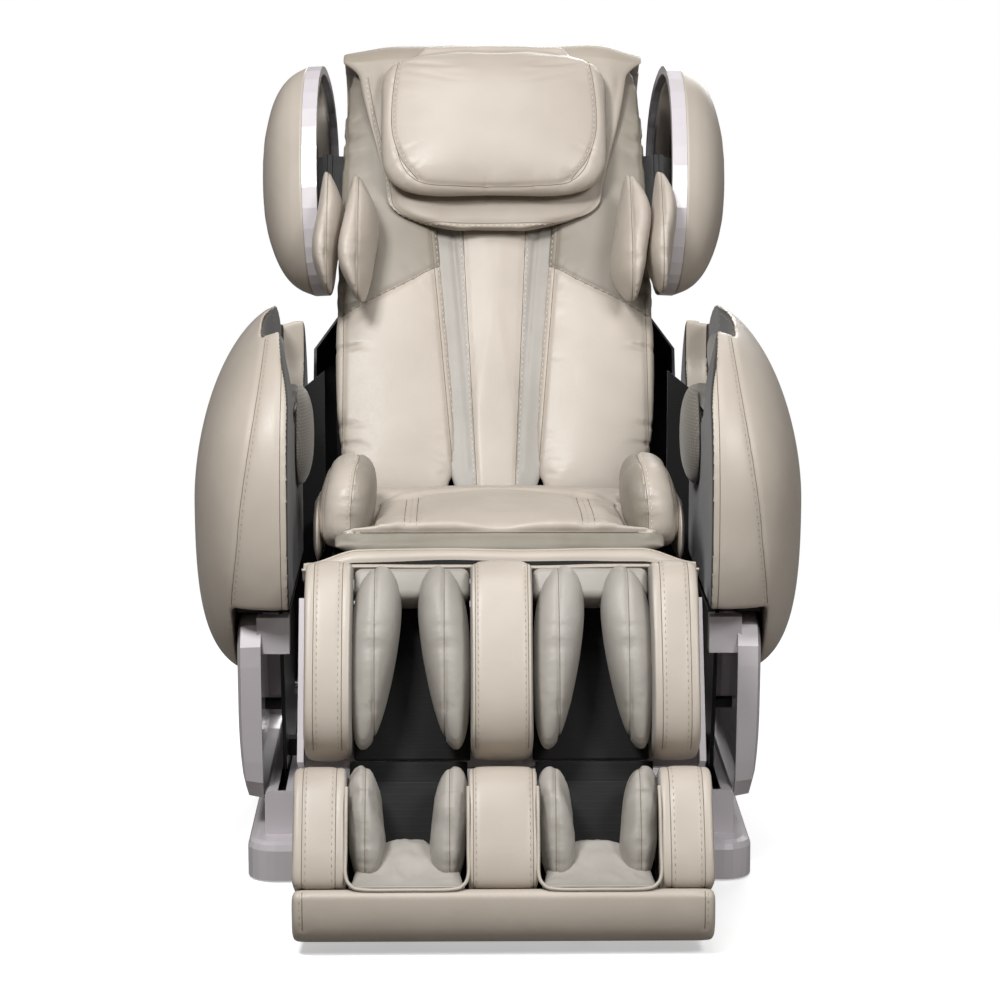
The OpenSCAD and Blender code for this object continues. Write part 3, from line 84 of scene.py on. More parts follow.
BACK = Matrix.Translation(joint_place("recline")) @ Matrix.Rotation(-BACK_ANGLE, 4, "X")
LEG = Matrix.Translation(joint_place("leg_raise")) @ Matrix.Rotation(-LEG_ANGLE, 4, "X")
BACK_HOME, LEG_HOME = BACK.inverted(), LEG.inverted()
STRAIGHT = Matrix.Identity(4)


class Slot(Enum):
    """The record's material slots."""

    LEATHER = "leather"
    GREY_LEATHER = "grey_leather"
    DARK_FABRIC = "dark_fabric"
    SILVER = "silver_plastic"
    GLOSS_BLACK = "gloss_black"
    BLACK_PLASTIC = "black_plastic"
    RED_PLASTIC = "red_plastic"
    NYLON = "nylon"
    RUBBER = "rubber"
    BLACK_STEEL = "black_steel"
    BRIGHT_STEEL = "bright_steel"
    ALUMINIUM = "aluminium"


# Materials -------------------------------------------------------------------


def linear(hex_colour: str) -> tuple[float, float, float, float]:
    """Turns an sRGB hex colour, six digits after a hash, into linear RGBA with an alpha of one."""
    parts = [int(hex_colour[i : i + 2], 16) / 255 for i in (1, 3, 5)]
    lin = [c / 12.92 if c <= 0.04045 else ((c + 0.055) / 1.055) ** 2.4 for c in parts]
    return (lin[0], lin[1], lin[2], 1.0)


def add_node(
    tree: Tree,
    kind: str,
    values: dict[str | int, Any] | None = None,
    links: dict[str | int, Any] | None = None,
    **attributes: Any,
) -> bpy.types.Node:
    """Adds a shader node.

    Args:
        tree: the node tree.
        kind: the node's type name.
        values: constants by input socket.
        links: output sockets by input socket.
        attributes: the node's own settings.

    Returns:
        The new node.
    """
    node = tree.nodes.new(kind)
    for key, value in attributes.items():
        setattr(node, key, value)
    for key, value in (values or {}).items():
        node.inputs[key].default_value = value
    for key, output in (links or {}).items():
        tree.links.new(output, node.inputs[key])
    return node


def new_tree(name: str) -> tuple[bpy.types.Material, Tree, Socket]:
    """An empty node material, its tree and its object coordinates."""
    material = bpy.data.materials.new(name)
    material.use_nodes = True
    tree = material.node_tree
    tree.nodes.clear()
    return material, tree, add_node(tree, "ShaderNodeTexCoord").outputs["Object"]


def specks(place: Socket, size: float, detail: float = 2.0, **values: float) -> Socket:
    """Noise with lumps of a size in metres."""
    settings = {"Scale": 1 / size, "Detail": detail, **values}
    return add_node(place.node.id_data, "ShaderNodeTexNoise", settings, {"Vector": place}).outputs["Fac"]


def tones(factor: Socket, dark: Any, light: Any, start: float = 0.0, stop: float = 1.0) -> Any:
    """A blend from a dark to a light colour between two values of a factor."""
    ramp = add_node(factor.node.id_data, "ShaderNodeValToRGB", {}, {"Fac": factor})
    for element, place, colour in zip(ramp.color_ramp.elements, (start, stop), (dark, light)):
        element.position, element.color = place, colour
    return ramp.outputs["Color"]


def gloss_range(value: Socket, low: float, high: float, top: float = 1.0) -> Socket:
    """A roughness between two limits as a value goes from zero to its top."""
    limits = {"From Min": 0.0, "From Max": top, "To Min": low, "To Max": high}
    return add_node(value.node.id_data, "ShaderNodeMapRange", limits, {"Value": value}).outputs["Result"]


def raised(height: Socket, depth_mm: float, strength: float = 0.5, normal: Any = None) -> Any:
    """A normal bent by a height, on top of another normal if one is given."""
    links = {"Height": height, **({"Normal": normal} if normal else {})}
    values = {"Strength": strength, "Distance": depth_mm * MM}
    return add_node(height.node.id_data, "ShaderNodeBump", values, links).outputs["Normal"]


def close_tree(tree: Tree, values: dict[str | int, Any], colour: Any, gloss: Any, normal: Any) -> None:
    """Ends a material in a principled shader."""
    links = {"Base Color": colour, "Roughness": gloss, "Normal": normal}
    constants = {key: links.pop(key) for key in list(links) if not isinstance(links[key], Socket)}
    shader = add_node(tree, "ShaderNodeBsdfPrincipled", {**constants, **values}, links)
    add_node(tree, "ShaderNodeOutputMaterial", {}, {"Surface": shader.outputs["BSDF"]})


def plain(tree: Tree, kind: str, colour: Any, strength: float | None = None) -> Any:
    """A shader of one colour."""
    values = {"Color": colour, **({} if strength is None else {"Strength": strength})}
    return add_node(tree, f"ShaderNode{kind}", values).outputs[0]


def mixed(tree: Tree, share: Socket, first: Any, second: Any) -> Any:
    """A mix of two shaders."""
    return add_node(tree, "ShaderNodeMixShader", {}, {0: share, 1: first, 2: second}).outputs["Shader"]


@dataclass(frozen=True)
class Leather:
    """Polyurethane-coated split leather with a calendered pebble grain: a soft highlight, slow tone drift."""

    name: str
    colour: str
    shade: str
    roughness: float = 0.46
    grain_mm: float = 2.2    # real pebbles are 1 mm; drawn coarser so that they show
    grain_depth_mm: float = 0.10
    crease_mm: float = 55.0
    crease_depth_mm: float = 1.4
    gloss_spread: float = 0.06
    drift_m: float = 0.16

    def material(self) -> bpy.types.Material:
        """Builds the node material."""
        material, tree, place = new_tree(self.name)
        grain = add_node(
            tree, "ShaderNodeTexVoronoi", {"Scale": 1 / (self.grain_mm * MM), "Randomness": 0.9},
            {"Vector": place}, feature="SMOOTH_F1",
        ).outputs["Distance"]
        creases = specks(place, self.crease_mm * MM, 4.0, Roughness=0.45, Distortion=0.7)
        close_tree(
            tree, {"Coat Weight": 0.06, "Coat Roughness": 0.4, "Sheen Weight": 0.04},
            tones(specks(place, self.drift_m, 3.0), linear(self.shade), linear(self.colour), 0.34, 0.66),
            gloss_range(grain, self.roughness - self.gloss_spread, self.roughness + self.gloss_spread, 0.7),
            raised(grain, self.grain_depth_mm, 0.6, raised(creases, self.crease_depth_mm)),
        )
        return material


@dataclass(frozen=True)
class Weave:
    """Knitted polyester over air cells: matt, with a fine rib and a pale fuzz at grazing angles."""

    name: str
    colour: str
    shade: str
    rib_mm: float = 2.4    # real ribs are 0.8 mm; drawn coarser so that they show
    rib_depth_mm: float = 0.3

    def material(self) -> bpy.types.Material:
        """Builds the node material."""
        material, tree, place = new_tree(self.name)
        waves = [
            add_node(
                tree, "ShaderNodeTexWave", {"Scale": 1 / (self.rib_mm * MM) / math.tau, "Distortion": 1.2},
                {"Vector": place}, bands_direction=axis,
            ).outputs["Fac"]
            for axis in ("Y", "Z")
        ]
        crossed = {0: waves[0], 1: waves[1]}
        knit = add_node(tree, "ShaderNodeMath", {}, crossed, operation="MULTIPLY").outputs["Value"]
        close_tree(
            tree, {"Sheen Weight": 0.25, "Sheen Roughness": 0.5},
            tones(knit, linear(self.shade), linear(self.colour)), 0.82, raised(knit, self.rib_depth_mm),
        )
        return material


@dataclass(frozen=True)
class Moulding:
    """Injection-moulded or sprayed plastic and rubber: an even colour, a spark-eroded or flaked surface."""

    name: str
    colour: str
    roughness: float
    metallic: float = 0.0
    coat: float = 0.0
    texture_mm: float = 1.2
    texture_depth_mm: float = 0.03
    tone_range: float = 0.12
    drift_m: float = 0.09

    def material(self) -> bpy.types.Material:
        """Builds the node material."""
        material, tree, place = new_tree(self.name)
        speck = specks(place, self.texture_mm * MM)
        base = linear(self.colour)
        dark = tuple(c * (1 - self.tone_range) for c in base[:3]) + (1.0,)
        close_tree(
            tree, {"Metallic": self.metallic, "Coat Weight": self.coat, "Coat Roughness": 0.08},
            tones(specks(place, self.drift_m), dark, base),
            gloss_range(speck, self.roughness * 0.85, min(1.0, self.roughness * 1.15)),
            raised(speck, self.texture_depth_mm),
        )
        return material


@dataclass(frozen=True)
class Metal:
    """Ground or drawn metal: fine lines along one direction that spread the highlight across them."""

    name: str
    colour: str
    roughness: float
    line_mm: float = 0.9    # real grinding lines are 0.1 mm; drawn coarser so that they show
    line_depth_mm: float = 0.02

    def material(self) -> bpy.types.Material:
        """Builds the node material."""
        material, tree, place = new_tree(self.name)
        stretch = {"Scale": (0.04, 1.0, 1.0)}
        along = add_node(tree, "ShaderNodeMapping", stretch, {"Vector": place}).outputs["Vector"]
        lines = specks(along, self.line_mm * MM)
        close_tree(
            tree, {"Metallic": 1.0}, linear(self.colour),
            gloss_range(lines, self.roughness * 0.7, self.roughness * 1.3),
            raised(lines, self.line_depth_mm, 0.3),
        )
        return material


Finish = Leather | Weave | Moulding | Metal

FINISHES = {
    Slot.LEATHER: Leather("beige_pu_leather", "#c0b6aa", "#b5ab9f", roughness=0.42),
    Slot.GREY_LEATHER: Leather(
        "grey_pu_leather", "#a9a49d", "#9b968e", roughness=0.52, crease_mm=38, crease_depth_mm=2.2
    ),
    Slot.DARK_FABRIC: Weave("grey_knitted_polyester", "#8b867e", "#6f6a62"),
    Slot.SILVER: Moulding("silver_sprayed_abs", "#dbd5d9", 0.30, metallic=0.08, coat=0.3, texture_mm=0.9),
    Slot.GLOSS_BLACK: Moulding(
        "smoked_gloss_abs", "#1c1611", 0.09, coat=1.0, texture_mm=30, texture_depth_mm=0.05
    ),
    Slot.BLACK_PLASTIC: Moulding("black_moulded_abs", "#1b1b1c", 0.5, texture_mm=1.0, texture_depth_mm=0.08),
    Slot.RED_PLASTIC: Moulding("red_moulded_polycarbonate", "#a01712", 0.3, coat=0.3),
    Slot.NYLON: Moulding("natural_nylon", "#dcd8cc", 0.42, texture_mm=2.0),
    Slot.RUBBER: Moulding("black_moulded_rubber", "#161616", 0.85, texture_mm=1.6, texture_depth_mm=0.1),
    Slot.BLACK_STEEL: Moulding(
        "black_powder_coated_steel", "#121213", 0.46, texture_mm=2.2, texture_depth_mm=0.12
    ),
    Slot.BRIGHT_STEEL: Metal("ground_steel", "#c3c4c6", 0.28),
    Slot.ALUMINIUM: Metal("cast_aluminium", "#b9babd", 0.42, line_mm=2.0),
}
# Darker copy of the beige leather, used as painted shade on faces that sit in shadow.
SHADED = Leather("painted_shade_pu_leather", "#9d9589", "#8b8377", roughness=0.5)
# Darker copy of the beige leather for the head cover: painted shade.
SHADED_COVER = Leather("cover_painted_shade_leather", "#b0a699", "#a2988b", roughness=0.5)
# Grey leather of the seat's underband, darkened for the shade on its downward faces: painted shade.
SHADED_UNDERBAND = Leather("grey_underband_painted_shade_leather", "#8c8679", "#7e786b", roughness=0.55)
THREAD = Moulding("polyester_thread", "#a89b87", 0.7, texture_mm=0.6)
PALE_THREAD = Moulding("pale_polyester_thread", "#e9e2d6", 0.7, texture_mm=0.6)
SEAM_SHADE = Moulding("shaded_seam", "#857b6c", 0.9, texture_mm=0.8)
# Near-black: dark knitted lining made darker to stand for the deep shade in channels and gaps, painted shade.
LINING_AND_SHADE = Weave("black_lining_and_painted_shade", "#0c0b0a", "#050505")


@dataclass
class Finishes:
    """Every finish of the chair, made once."""

    made: dict[str, bpy.types.Material] = field(default_factory=dict)

    def of(self, finish: Finish | Slot) -> bpy.types.Material:
        """The material of a finish, or of a slot's finish."""
        recipe = FINISHES[finish] if isinstance(finish, Slot) else finish
        if recipe.name not in self.made:
            self.made[recipe.name] = recipe.material()
        return self.made[recipe.name]

    def dress_frame(self) -> None:
        """Gives every CAD node the finish of its slot."""
        for part in frame["record"]["subparts"]:
            node = frame["nodes"][part["node"]]
            if not node.data.materials:
                node.data.materials.append(None)
            for place in node.material_slots:
                place.material = self.of(Slot(part["material_slot"]))


# Meshes ------------------------------------------------------------------------


def welded(node: str) -> Mesh:
    """A welded copy of a CAD node, its triangles paired into quads."""
    bm = bmesh.new()
    bm.from_mesh(frame["nodes"][node].data)
    bmesh.ops.remove_doubles(bm, verts=bm.verts[:], dist=0.02 * MM)
    bmesh.ops.dissolve_degenerate(bm, dist=0.01 * MM, edges=bm.edges[:])
    wide = math.radians(80)
    bmesh.ops.join_triangles(bm, faces=bm.faces[:], angle_face_threshold=wide, angle_shape_threshold=wide)
    bmesh.ops.recalc_face_normals(bm, faces=bm.faces[:])
    return bm


def islands(bm: Mesh) -> list[list[bmesh.types.BMVert]]:
    """The connected groups of vertices of a mesh."""
    left, groups = set(bm.verts), []
    while left:
        group, queue = [], [left.pop()]
        while queue:
            vert = queue.pop()
            group.append(vert)
            for edge in vert.link_edges:
                other = edge.other_vert(vert)
                if other in left:
                    left.remove(other)
                    queue.append(other)
        groups.append(group)
    return groups


def middle(verts: Iterable[Any]) -> Vector:
    """The middle of the box round some vertices."""
    places = [v.co for v in verts]
    return Vector([(min(p[k] for p in places) + max(p[k] for p in places)) / 2 for k in range(3)])


def weave(bm: Mesh, rows: Sequence[Sequence[bmesh.types.BMVert]]) -> None:
    """Joins neighbouring rows of vertices with quads."""
    for a, b in zip(rows, rows[1:]):
        for k in range(len(a) - 1):
            bm.faces.new((a[k], a[k + 1], b[k + 1], b[k]))


def keep_islands(bm: Mesh, wanted: Callable[[Vector], bool]) -> Mesh:
    """Deletes the solids of a mesh whose middle isn't wanted, and returns the mesh."""
    drop = [v for group in islands(bm) if not wanted(middle(group)) for v in group]
    bmesh.ops.delete(bm, geom=drop, context="VERTS")
    return bm


def mirror(bm: Mesh, side: int) -> None:
    """Turns a mesh for the chair's right side into one for its left where the side is -1."""
    if side < 0:
        bmesh.ops.scale(bm, vec=(-1, 1, 1), verts=bm.verts[:])
        bmesh.ops.recalc_face_normals(bm, faces=bm.faces[:])


def add_object(name: str, data: bpy.types.ID) -> Piece:
    """Puts data into a new object of the scene."""
    obj = bpy.data.objects.new(name, data)
    bpy.context.scene.collection.objects.link(obj)
    return obj


def to_object(bm: Mesh, name: str) -> Piece:
    """Puts a bmesh into a new smooth-shaded object at the origin."""
    mesh = bpy.data.meshes.new(name)
    bm.to_mesh(mesh)
    bm.free()
    mesh.shade_smooth()
    return add_object(name, mesh)


def bake(obj: Piece) -> None:
    """Applies every modifier of an object to its mesh."""
    shown = obj.evaluated_get(bpy.context.evaluated_depsgraph_get())
    mesh = bpy.data.meshes.new_from_object(shown)
    old, name = obj.data, obj.data.name
    obj.modifiers.clear()
    obj.data = mesh
    bpy.data.meshes.remove(old)
    mesh.name = name
    mesh.shade_smooth()


def subdivide(obj: Piece, levels: int) -> None:
    """Rounds a mesh by whole levels of subdivision."""
    mod = obj.modifiers.new("round", "SUBSURF")
    mod.levels = mod.render_levels = levels
    bake(obj)


def crease(obj: Piece, angle: float) -> None:
    """Keeps the edges that are sharper than an angle sharp under subdivision."""
    bm = bmesh.new()
    bm.from_mesh(obj.data)
    layer = bm.edges.layers.float.new("crease_edge")
    for edge in bm.edges:
        if len(edge.link_faces) == 2 and edge.calc_face_angle() > angle:
            edge[layer] = 1.0
    bm.to_mesh(obj.data)
    bm.free()


def span(obj: Piece, home: Matrix) -> tuple[Vector, Vector]:
    """The lowest and highest corner of a mesh in a frame."""
    places = [home @ v.co for v in obj.data.vertices]
    low = Vector([min(p[k] for p in places) for k in range(3)])
    high = Vector([max(p[k] for p in places) for k in range(3)])
    return low, high


def round_off(obj: Piece, levels: int, own: Matrix) -> None:
    """Rounds a coarse mesh by subdivision, then gives it back the size that the rounding took off.

    Args:
        obj: the coarse mesh.
        levels: whole levels of subdivision.
        own: the frame in which its box is kept.
    """
    home = own.inverted()
    low, high = span(obj, home)
    subdivide(obj, levels)
    new_low, new_high = span(obj, home)
    size, new_size = high - low, new_high - new_low
    scale = Matrix.Diagonal([size[k] / max(new_size[k], 1e-6) for k in range(3)])
    reshape(obj, lambda place, normal: own @ (low + scale @ (home @ place - new_low)))


def remesh(obj: Piece, size: float) -> None:
    """Rebuilds a closed mesh from even quads of about a size."""
    mod = obj.modifiers.new("even", "REMESH")
    mod.mode, mod.voxel_size, mod.use_smooth_shade = "VOXEL", size, True
    bake(obj)


def reshape(obj: Piece, move: Callable[[Vector, Vector], Vector]) -> None:
    """Moves each vertex to what a function of its place and normal gives."""
    mesh = obj.data
    moved = [c for v in mesh.vertices for c in move(v.co, v.normal)]
    mesh.vertices.foreach_set("co", moved)
    mesh.update()


def relax(obj: Piece, rounds: int, share: float = 0.5) -> None:
    """Evens out a surface by moving each vertex towards its neighbours."""
    bm = bmesh.new()
    bm.from_mesh(obj.data)
    for _ in range(rounds):
        bmesh.ops.smooth_vert(
            bm, verts=bm.verts[:], factor=share, use_axis_x=True, use_axis_y=True, use_axis_z=True
        )
    bm.to_mesh(obj.data)
    bm.free()
    obj.data.update()


def surface_of(obj: Piece) -> BVHTree:
    """A search tree over an object's mesh."""
    bm = bmesh.new()
    bm.from_mesh(obj.data)
    tree = BVHTree.FromBMesh(bm)
    bm.free()
    return tree


def bump_at(value: float, centre: float, width: float) -> float:
    """A smooth hump of height one."""
    return math.exp(-(((value - centre) / width) ** 2))


# Sewing --------------------------------------------------------------------------


@dataclass(frozen=True)
class Laid:
    """A point of a seam on the leather."""

    place: Vector
    normal: Vector
    along: Vector


@dataclass(frozen=True)
class Seam:
    """A sewn line, as rays that meet the leather, and how it draws the leather in."""

    rays: tuple[Ray, ...]
    depth: float = 2.4 * MM
    width: float = 5.0 * MM
    rows: tuple[float, ...] = ()    # stitching beside the seam, to its left if positive
    line: bool = True
    gather: float = 0.0             # height of the small folds across the seam
    pale: bool = False


def pressed(points: Sequence[Vector], own: Matrix = STRAIGHT) -> tuple[Ray, ...]:
    """Rays that press a curve through points of a frame on to a surface, along the frame's Y."""
    way = (own.to_3x3() @ Y).normalized()
    return tuple((own @ p - way * 0.2, way) for p in curve_through(points))


def around(centre: Vector, start: float, stop: float, frame_of: Matrix, count: int = 90) -> tuple[Ray, ...]:
    """Rays from a centre outwards in its YZ plane, between two angles in degrees from +Y towards +Z."""
    turn = frame_of.to_3x3()
    angles = [math.radians(start + (stop - start) * i / count) for i in range(count + 1)]
    return tuple((frame_of @ centre, turn @ Vector((0, math.cos(a), math.sin(a)))) for a in angles)


def circle(steps: int = 180) -> list[Vector]:
    """Directions all round in the YZ plane, from +Y towards +Z and back to +Y."""
    angles = [math.radians(360 / steps * i) for i in range(steps + 1)]
    return [Vector((0, math.cos(a), math.sin(a))) for a in angles]


def curve_through(points: Sequence[Vector], steps: int = 10) -> list[Vector]:
    """A smooth curve through some points."""
    if len(points) < 3:
        return [points[0].lerp(points[-1], i / (4 * steps)) for i in range(4 * steps + 1)]
    ends = [points[0] * 2 - points[1], *points, points[-1] * 2 - points[-2]]
    curve = []
    for a, b, c, d in zip(ends, ends[1:], ends[2:], ends[3:]):
        for i in range(steps):
            t = i / steps
            bend, twist = 2 * a - 5 * b + 4 * c - d, 3 * b - a - 3 * c + d
            curve.append(0.5 * (2 * b + (c - a) * t + bend * t * t + twist * t**3))
    return [*curve, points[-1].copy()]


def lay(surface: BVHTree, rays: Sequence[Ray], step: float = 2.5 * MM) -> list[Laid]:
    """Lays a seam on a surface, as points a steady step apart.

    Args:
        surface: the leather.
        rays: origins, and directions or None.
        step: distance between points.

    Returns:
        The seam's points with their normals and directions.
    """
    longest_jump = 45 * MM    # a ray whose hit lies further on has missed the piece
    hits = []
    for origin, way in rays:
        found = surface.find_nearest(origin) if way is None else surface.ray_cast(origin, way, 1.2)
        if found[0] is not None and not (hits and (found[0] - hits[-1][0]).length > longest_jump):
            hits.append((found[0], found[1]))
    evenly: list[tuple[Vector, Vector]] = []
    spare = 0.0
    for (a, na), (b, nb) in zip(hits, hits[1:]):
        length = (b - a).length
        at = spare
        while at < length:
            evenly.append((a.lerp(b, at / length), na.lerp(nb, at / length).normalized()))
            at += step
        spare = at - length
    laid = []
    for i, (place, normal) in enumerate(evenly):
        before, after = evenly[max(0, i - 2)][0], evenly[min(len(evenly) - 1, i + 2)][0]
        laid.append(Laid(place, normal, (after - before).normalized()))
    return laid


def draw_in(obj: Piece, seam: Seam, laid: Sequence[Laid]) -> None:
    """Sinks the leather along a seam and raises small folds across it."""
    if not laid:
        return
    tree = KDTree(len(laid))
    for i, point in enumerate(laid):
        tree.insert(point.place, i)
    tree.balance()
    fold_reach = 28 * MM
    reach = max(seam.width * 2.5, fold_reach * 2 if seam.gather else 0)

    def move(place: Vector, normal: Vector) -> Vector:
        found, i, distance = tree.find(place)
        if distance > reach:
            return place
        drop = seam.depth * math.exp(-((distance / seam.width) ** 2))
        if seam.gather:
            fold = noise.noise(Vector((i * 0.13, distance * 12, 7.3)))
            drop += seam.gather * max(0.0, fold) * math.exp(-((distance / fold_reach) ** 2)) * 2
        return place - laid[i].normal * drop

    reshape(obj, move)


def stitch_mesh(name: str, laid_rows: Iterable[Sequence[Laid]], finish: bpy.types.Material) -> Piece:
    """One mesh of small stitches along some rows, one at every fourth point."""
    pitch, length, thick = 4, 5.5 * MM, 1.3 * MM
    bm = bmesh.new()
    for row in laid_rows:
        for point in row[2:-2:pitch]:
            across = point.normal.cross(point.along).normalized()
            up = point.along.cross(across).normalized()
            turn = Matrix((point.along, across, up)).transposed().to_4x4()
            size = Matrix.Diagonal((length / 2, thick / 2, thick / 2, 1))
            bmesh.ops.create_icosphere(
                bm, subdivisions=1, radius=1.0, matrix=Matrix.Translation(point.place) @ turn @ size
            )
    obj = to_object(bm, name)
    obj.data.materials.append(finish)
    return obj


def tube_mesh(
    name: str, paths: Iterable[Sequence[Vector]], radius: float, finish: bpy.types.Material
) -> Piece:
    """One mesh of round cords along some paths."""
    data = bpy.data.curves.new(name, "CURVE")
    data.dimensions, data.bevel_depth, data.bevel_resolution, data.use_fill_caps = "3D", radius, 1, True
    for path in paths:
        if len(path) < 2:
            continue
        spline = data.splines.new("POLY")
        spline.points.add(len(path) - 1)
        for point, place in zip(spline.points, path):
            point.co = (*place, 1.0)
    curve = add_object(name, data)
    mesh = bpy.data.meshes.new_from_object(curve.evaluated_get(bpy.context.evaluated_depsgraph_get()))
    bpy.data.objects.remove(curve)
    mesh.materials.clear()
    mesh.materials.append(finish)
    mesh.shade_smooth()
    return add_object(name, mesh)


# How the covers behave as cloth.
COVER_CLOTH = {
    "quality": 4, "mass": 0.2, "tension_stiffness": 12, "compression_stiffness": 12, "shear_stiffness": 6,
    "bending_stiffness": 0.6, "use_pressure": True,
}


@dataclass
class Pad:
    """A pad that is filled with air, then sewn, dressed and finished."""

    obj: Piece
    body: str
    seams: list[Seam]
    pressure: float
    cap: float                                          # how far the air may move a vertex
    fill: float
    nodes: Sequence[str] = ()
    held: Callable[[Vector], bool] | None = None        # what the air leaves in place
    slot: Slot = Slot.LEATHER
    dress: Callable[[Piece], None] | None = None


@dataclass
class Workshop:
    """Makes and sews the padded pieces and hides the CAD nodes that they stand for."""

    finishes: Finishes
    pads: list[Pad] = field(default_factory=list)

    def finish_piece(
        self, obj: Piece, body: str, slot: Slot | None, nodes: Sequence[str] = (),
        fill: float | None = None,
    ) -> None:
        """Args:
            obj: the piece.
            body: the body that it moves with.
            slot: the record's slot of its finish, or None for a finish of its own.
            nodes: the CAD nodes that it stands for.
            fill: how full a padded piece is; not used.
        """
        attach(obj, body)
        if nodes:
            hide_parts(*nodes)
        if slot:
            if not obj.data.materials:
                obj.data.materials.append(self.finishes.of(slot))
        log.info("%s rides on %s with %d faces", obj.name, body, len(obj.data.polygons))

    def line(self, obj: Piece, body: str) -> None:
        """Finishes a piece in the near-black lining finish, darkened to stand for deep shade: painted shade."""
        obj.data.materials.append(self.finishes.of(LINING_AND_SHADE))
        self.finish_piece(obj, body, None)

    def paint(self, obj: Piece, finish: Finish | Slot, chosen: Callable[[Any], bool]) -> None:
        """Covers a piece in the beige leather, and its chosen faces in another finish."""
        obj.data.materials.clear()
        for each in (Slot.LEATHER, finish):
            obj.data.materials.append(self.finishes.of(each))
        for face in obj.data.polygons:
            face.material_index = int(chosen(face))

    def sew(self, obj: Piece, body: str, seams: Sequence[Seam]) -> None:
        """Draws the leather in along every seam, then lays the seam lines and stitches on it."""
        surface = surface_of(obj)
        for seam in seams:
            draw_in(obj, seam, lay(surface, seam.rays))
        surface = surface_of(obj)
        lines, rows, pale_rows = [], [], []
        for seam in seams:
            laid = lay(surface, seam.rays)
            if seam.line:
                lines.append([p.place + p.normal * 0.1 * MM for p in laid])
            for offset in seam.rows:
                beside = [
                    (p.place + p.normal.cross(p.along).normalized() * offset + p.normal * 20 * MM, -p.normal)
                    for p in laid
                ]
                (pale_rows if seam.pale else rows).append(lay(surface, beside))
        if lines:
            line = tube_mesh(f"{obj.name}_seam_lines", lines, 0.6 * MM, self.finishes.of(SEAM_SHADE))
            self.finish_piece(line, body, None)
        for name, group, thread in (("stitches", rows, THREAD), ("pale_stitches", pale_rows, PALE_THREAD)):
            if group:
                self.finish_piece(
                    stitch_mesh(f"{obj.name}_{name}", group, self.finishes.of(thread)), body, None
                )

    def fill_with_air(self, frames: int = 14) -> None:
        """Swells every pad in the list at once with a cloth simulation, holding its seams and its back."""
        scene = bpy.context.scene
        rest = {}
        for pad in self.pads:
            obj = pad.obj
            surface = surface_of(obj)
            points = [p.place for s in pad.seams for p in lay(surface, s.rays, 6 * MM)]
            tree = KDTree(max(1, len(points)))
            for i, place in enumerate(points):
                tree.insert(place, i)
            tree.balance()
            group = obj.vertex_groups.new(name="held")
            pinned = [
                v.index for v in obj.data.vertices
                if (pad.held and pad.held(v.co)) or (points and tree.find(v.co)[2] < 5 * MM)
            ]
            group.add(pinned, 1.0, "REPLACE")
            rest[obj.name] = [v.co.copy() for v in obj.data.vertices]
            cloth = obj.modifiers.new("air", "CLOTH")
            for setting, value in COVER_CLOTH.items():
                setattr(cloth.settings, setting, value)
            cloth.settings.uniform_pressure_force = pad.pressure
            cloth.settings.vertex_group_mass = "held"
            cloth.settings.effector_weights.gravity = 0
            cloth.collision_settings.use_collision = False
            cloth.point_cache.frame_start, cloth.point_cache.frame_end = 1, frames
        for number in range(1, frames + 1):
            scene.frame_set(number)
        for pad in self.pads:
            obj = pad.obj
            bake(obj)
            old = rest[obj.name]
            for vert in obj.data.vertices:
                step = vert.co - old[vert.index]
                if step.length > pad.cap:
                    vert.co = old[vert.index] + step.normalized() * pad.cap
            obj.vertex_groups.clear()
            obj.data.update()
        scene.frame_set(1)
        log.info("air fill done for %d pads", len(self.pads))

    def sew_pads(self) -> None:
        """Refines, sews, dresses and finishes every pad in the list."""
        for pad in self.pads:
            subdivide(pad.obj, 1)
            self.sew(pad.obj, pad.body, pad.seams)
            if pad.dress:
                pad.dress(pad.obj)
            self.finish_piece(pad.obj, pad.body, pad.slot, pad.nodes, pad.fill)


def pad_from(
    node: str,
    name: str,
    own: Matrix,
    wanted: Callable[[Vector], bool] | None = None,
    levels: int = 2,
    sharp: float | None = None,
) -> Piece:
    """A rounded copy of the soft solids of a CAD node.

    Args:
        node: the CAD node.
        name: the new object's name.
        own: the frame in which the solids lie straight.
        wanted: which solids, by their middle.
        levels: whole levels of subdivision.
        sharp: edges above this angle stay sharp.

    Returns:
        The rounded object.
    """
    bm = welded(node)
    if wanted:
        keep_islands(bm, wanted)
    obj = to_object(bm, name)
    if sharp:
        crease(obj, sharp)
    round_off(obj, levels, own)
    return obj


def shade_slabs(name: str, y: float, boxes: Iterable[Sequence[float]]) -> Piece:
    """Flat near-black sheets across the chair at a Y, put in gaps as painted shade, made of slabs given by two X
    and two Z.
    """
    bm = bmesh.new()
    for x0, x1, z0, z1 in boxes:
        centre = Vector(((x0 + x1) / 2, y, (z0 + z1) / 2))
        size = Matrix.Diagonal((abs(x1 - x0), 3 * MM, z1 - z0, 1))
        bmesh.ops.create_cube(bm, size=1.0, matrix=Matrix.Translation(centre) @ size)
    obj = to_object(bm, name)
    obj.data.shade_flat()
    return obj


def smooth_step(value: float, start: float, stop: float) -> float:
    """Zero before a start, one after a stop, and smooth between."""
    t = min(1.0, max(0.0, (value - start) / (stop - start)))
    return t * t * (3 - 2 * t)


def wrinkle(place: Vector, pitch: float, seed: float) -> float:
    """Folds of height up to one, with sharp valleys, about a pitch apart."""
    p = place / pitch + Vector((seed, seed * 0.37, seed * 0.71))
    return 1 - abs(noise.noise(p)) * 2 - 0.35 * abs(noise.noise(p * 2.3)) * 2


# Sub-assemblies ---------------------------------------------------------------------


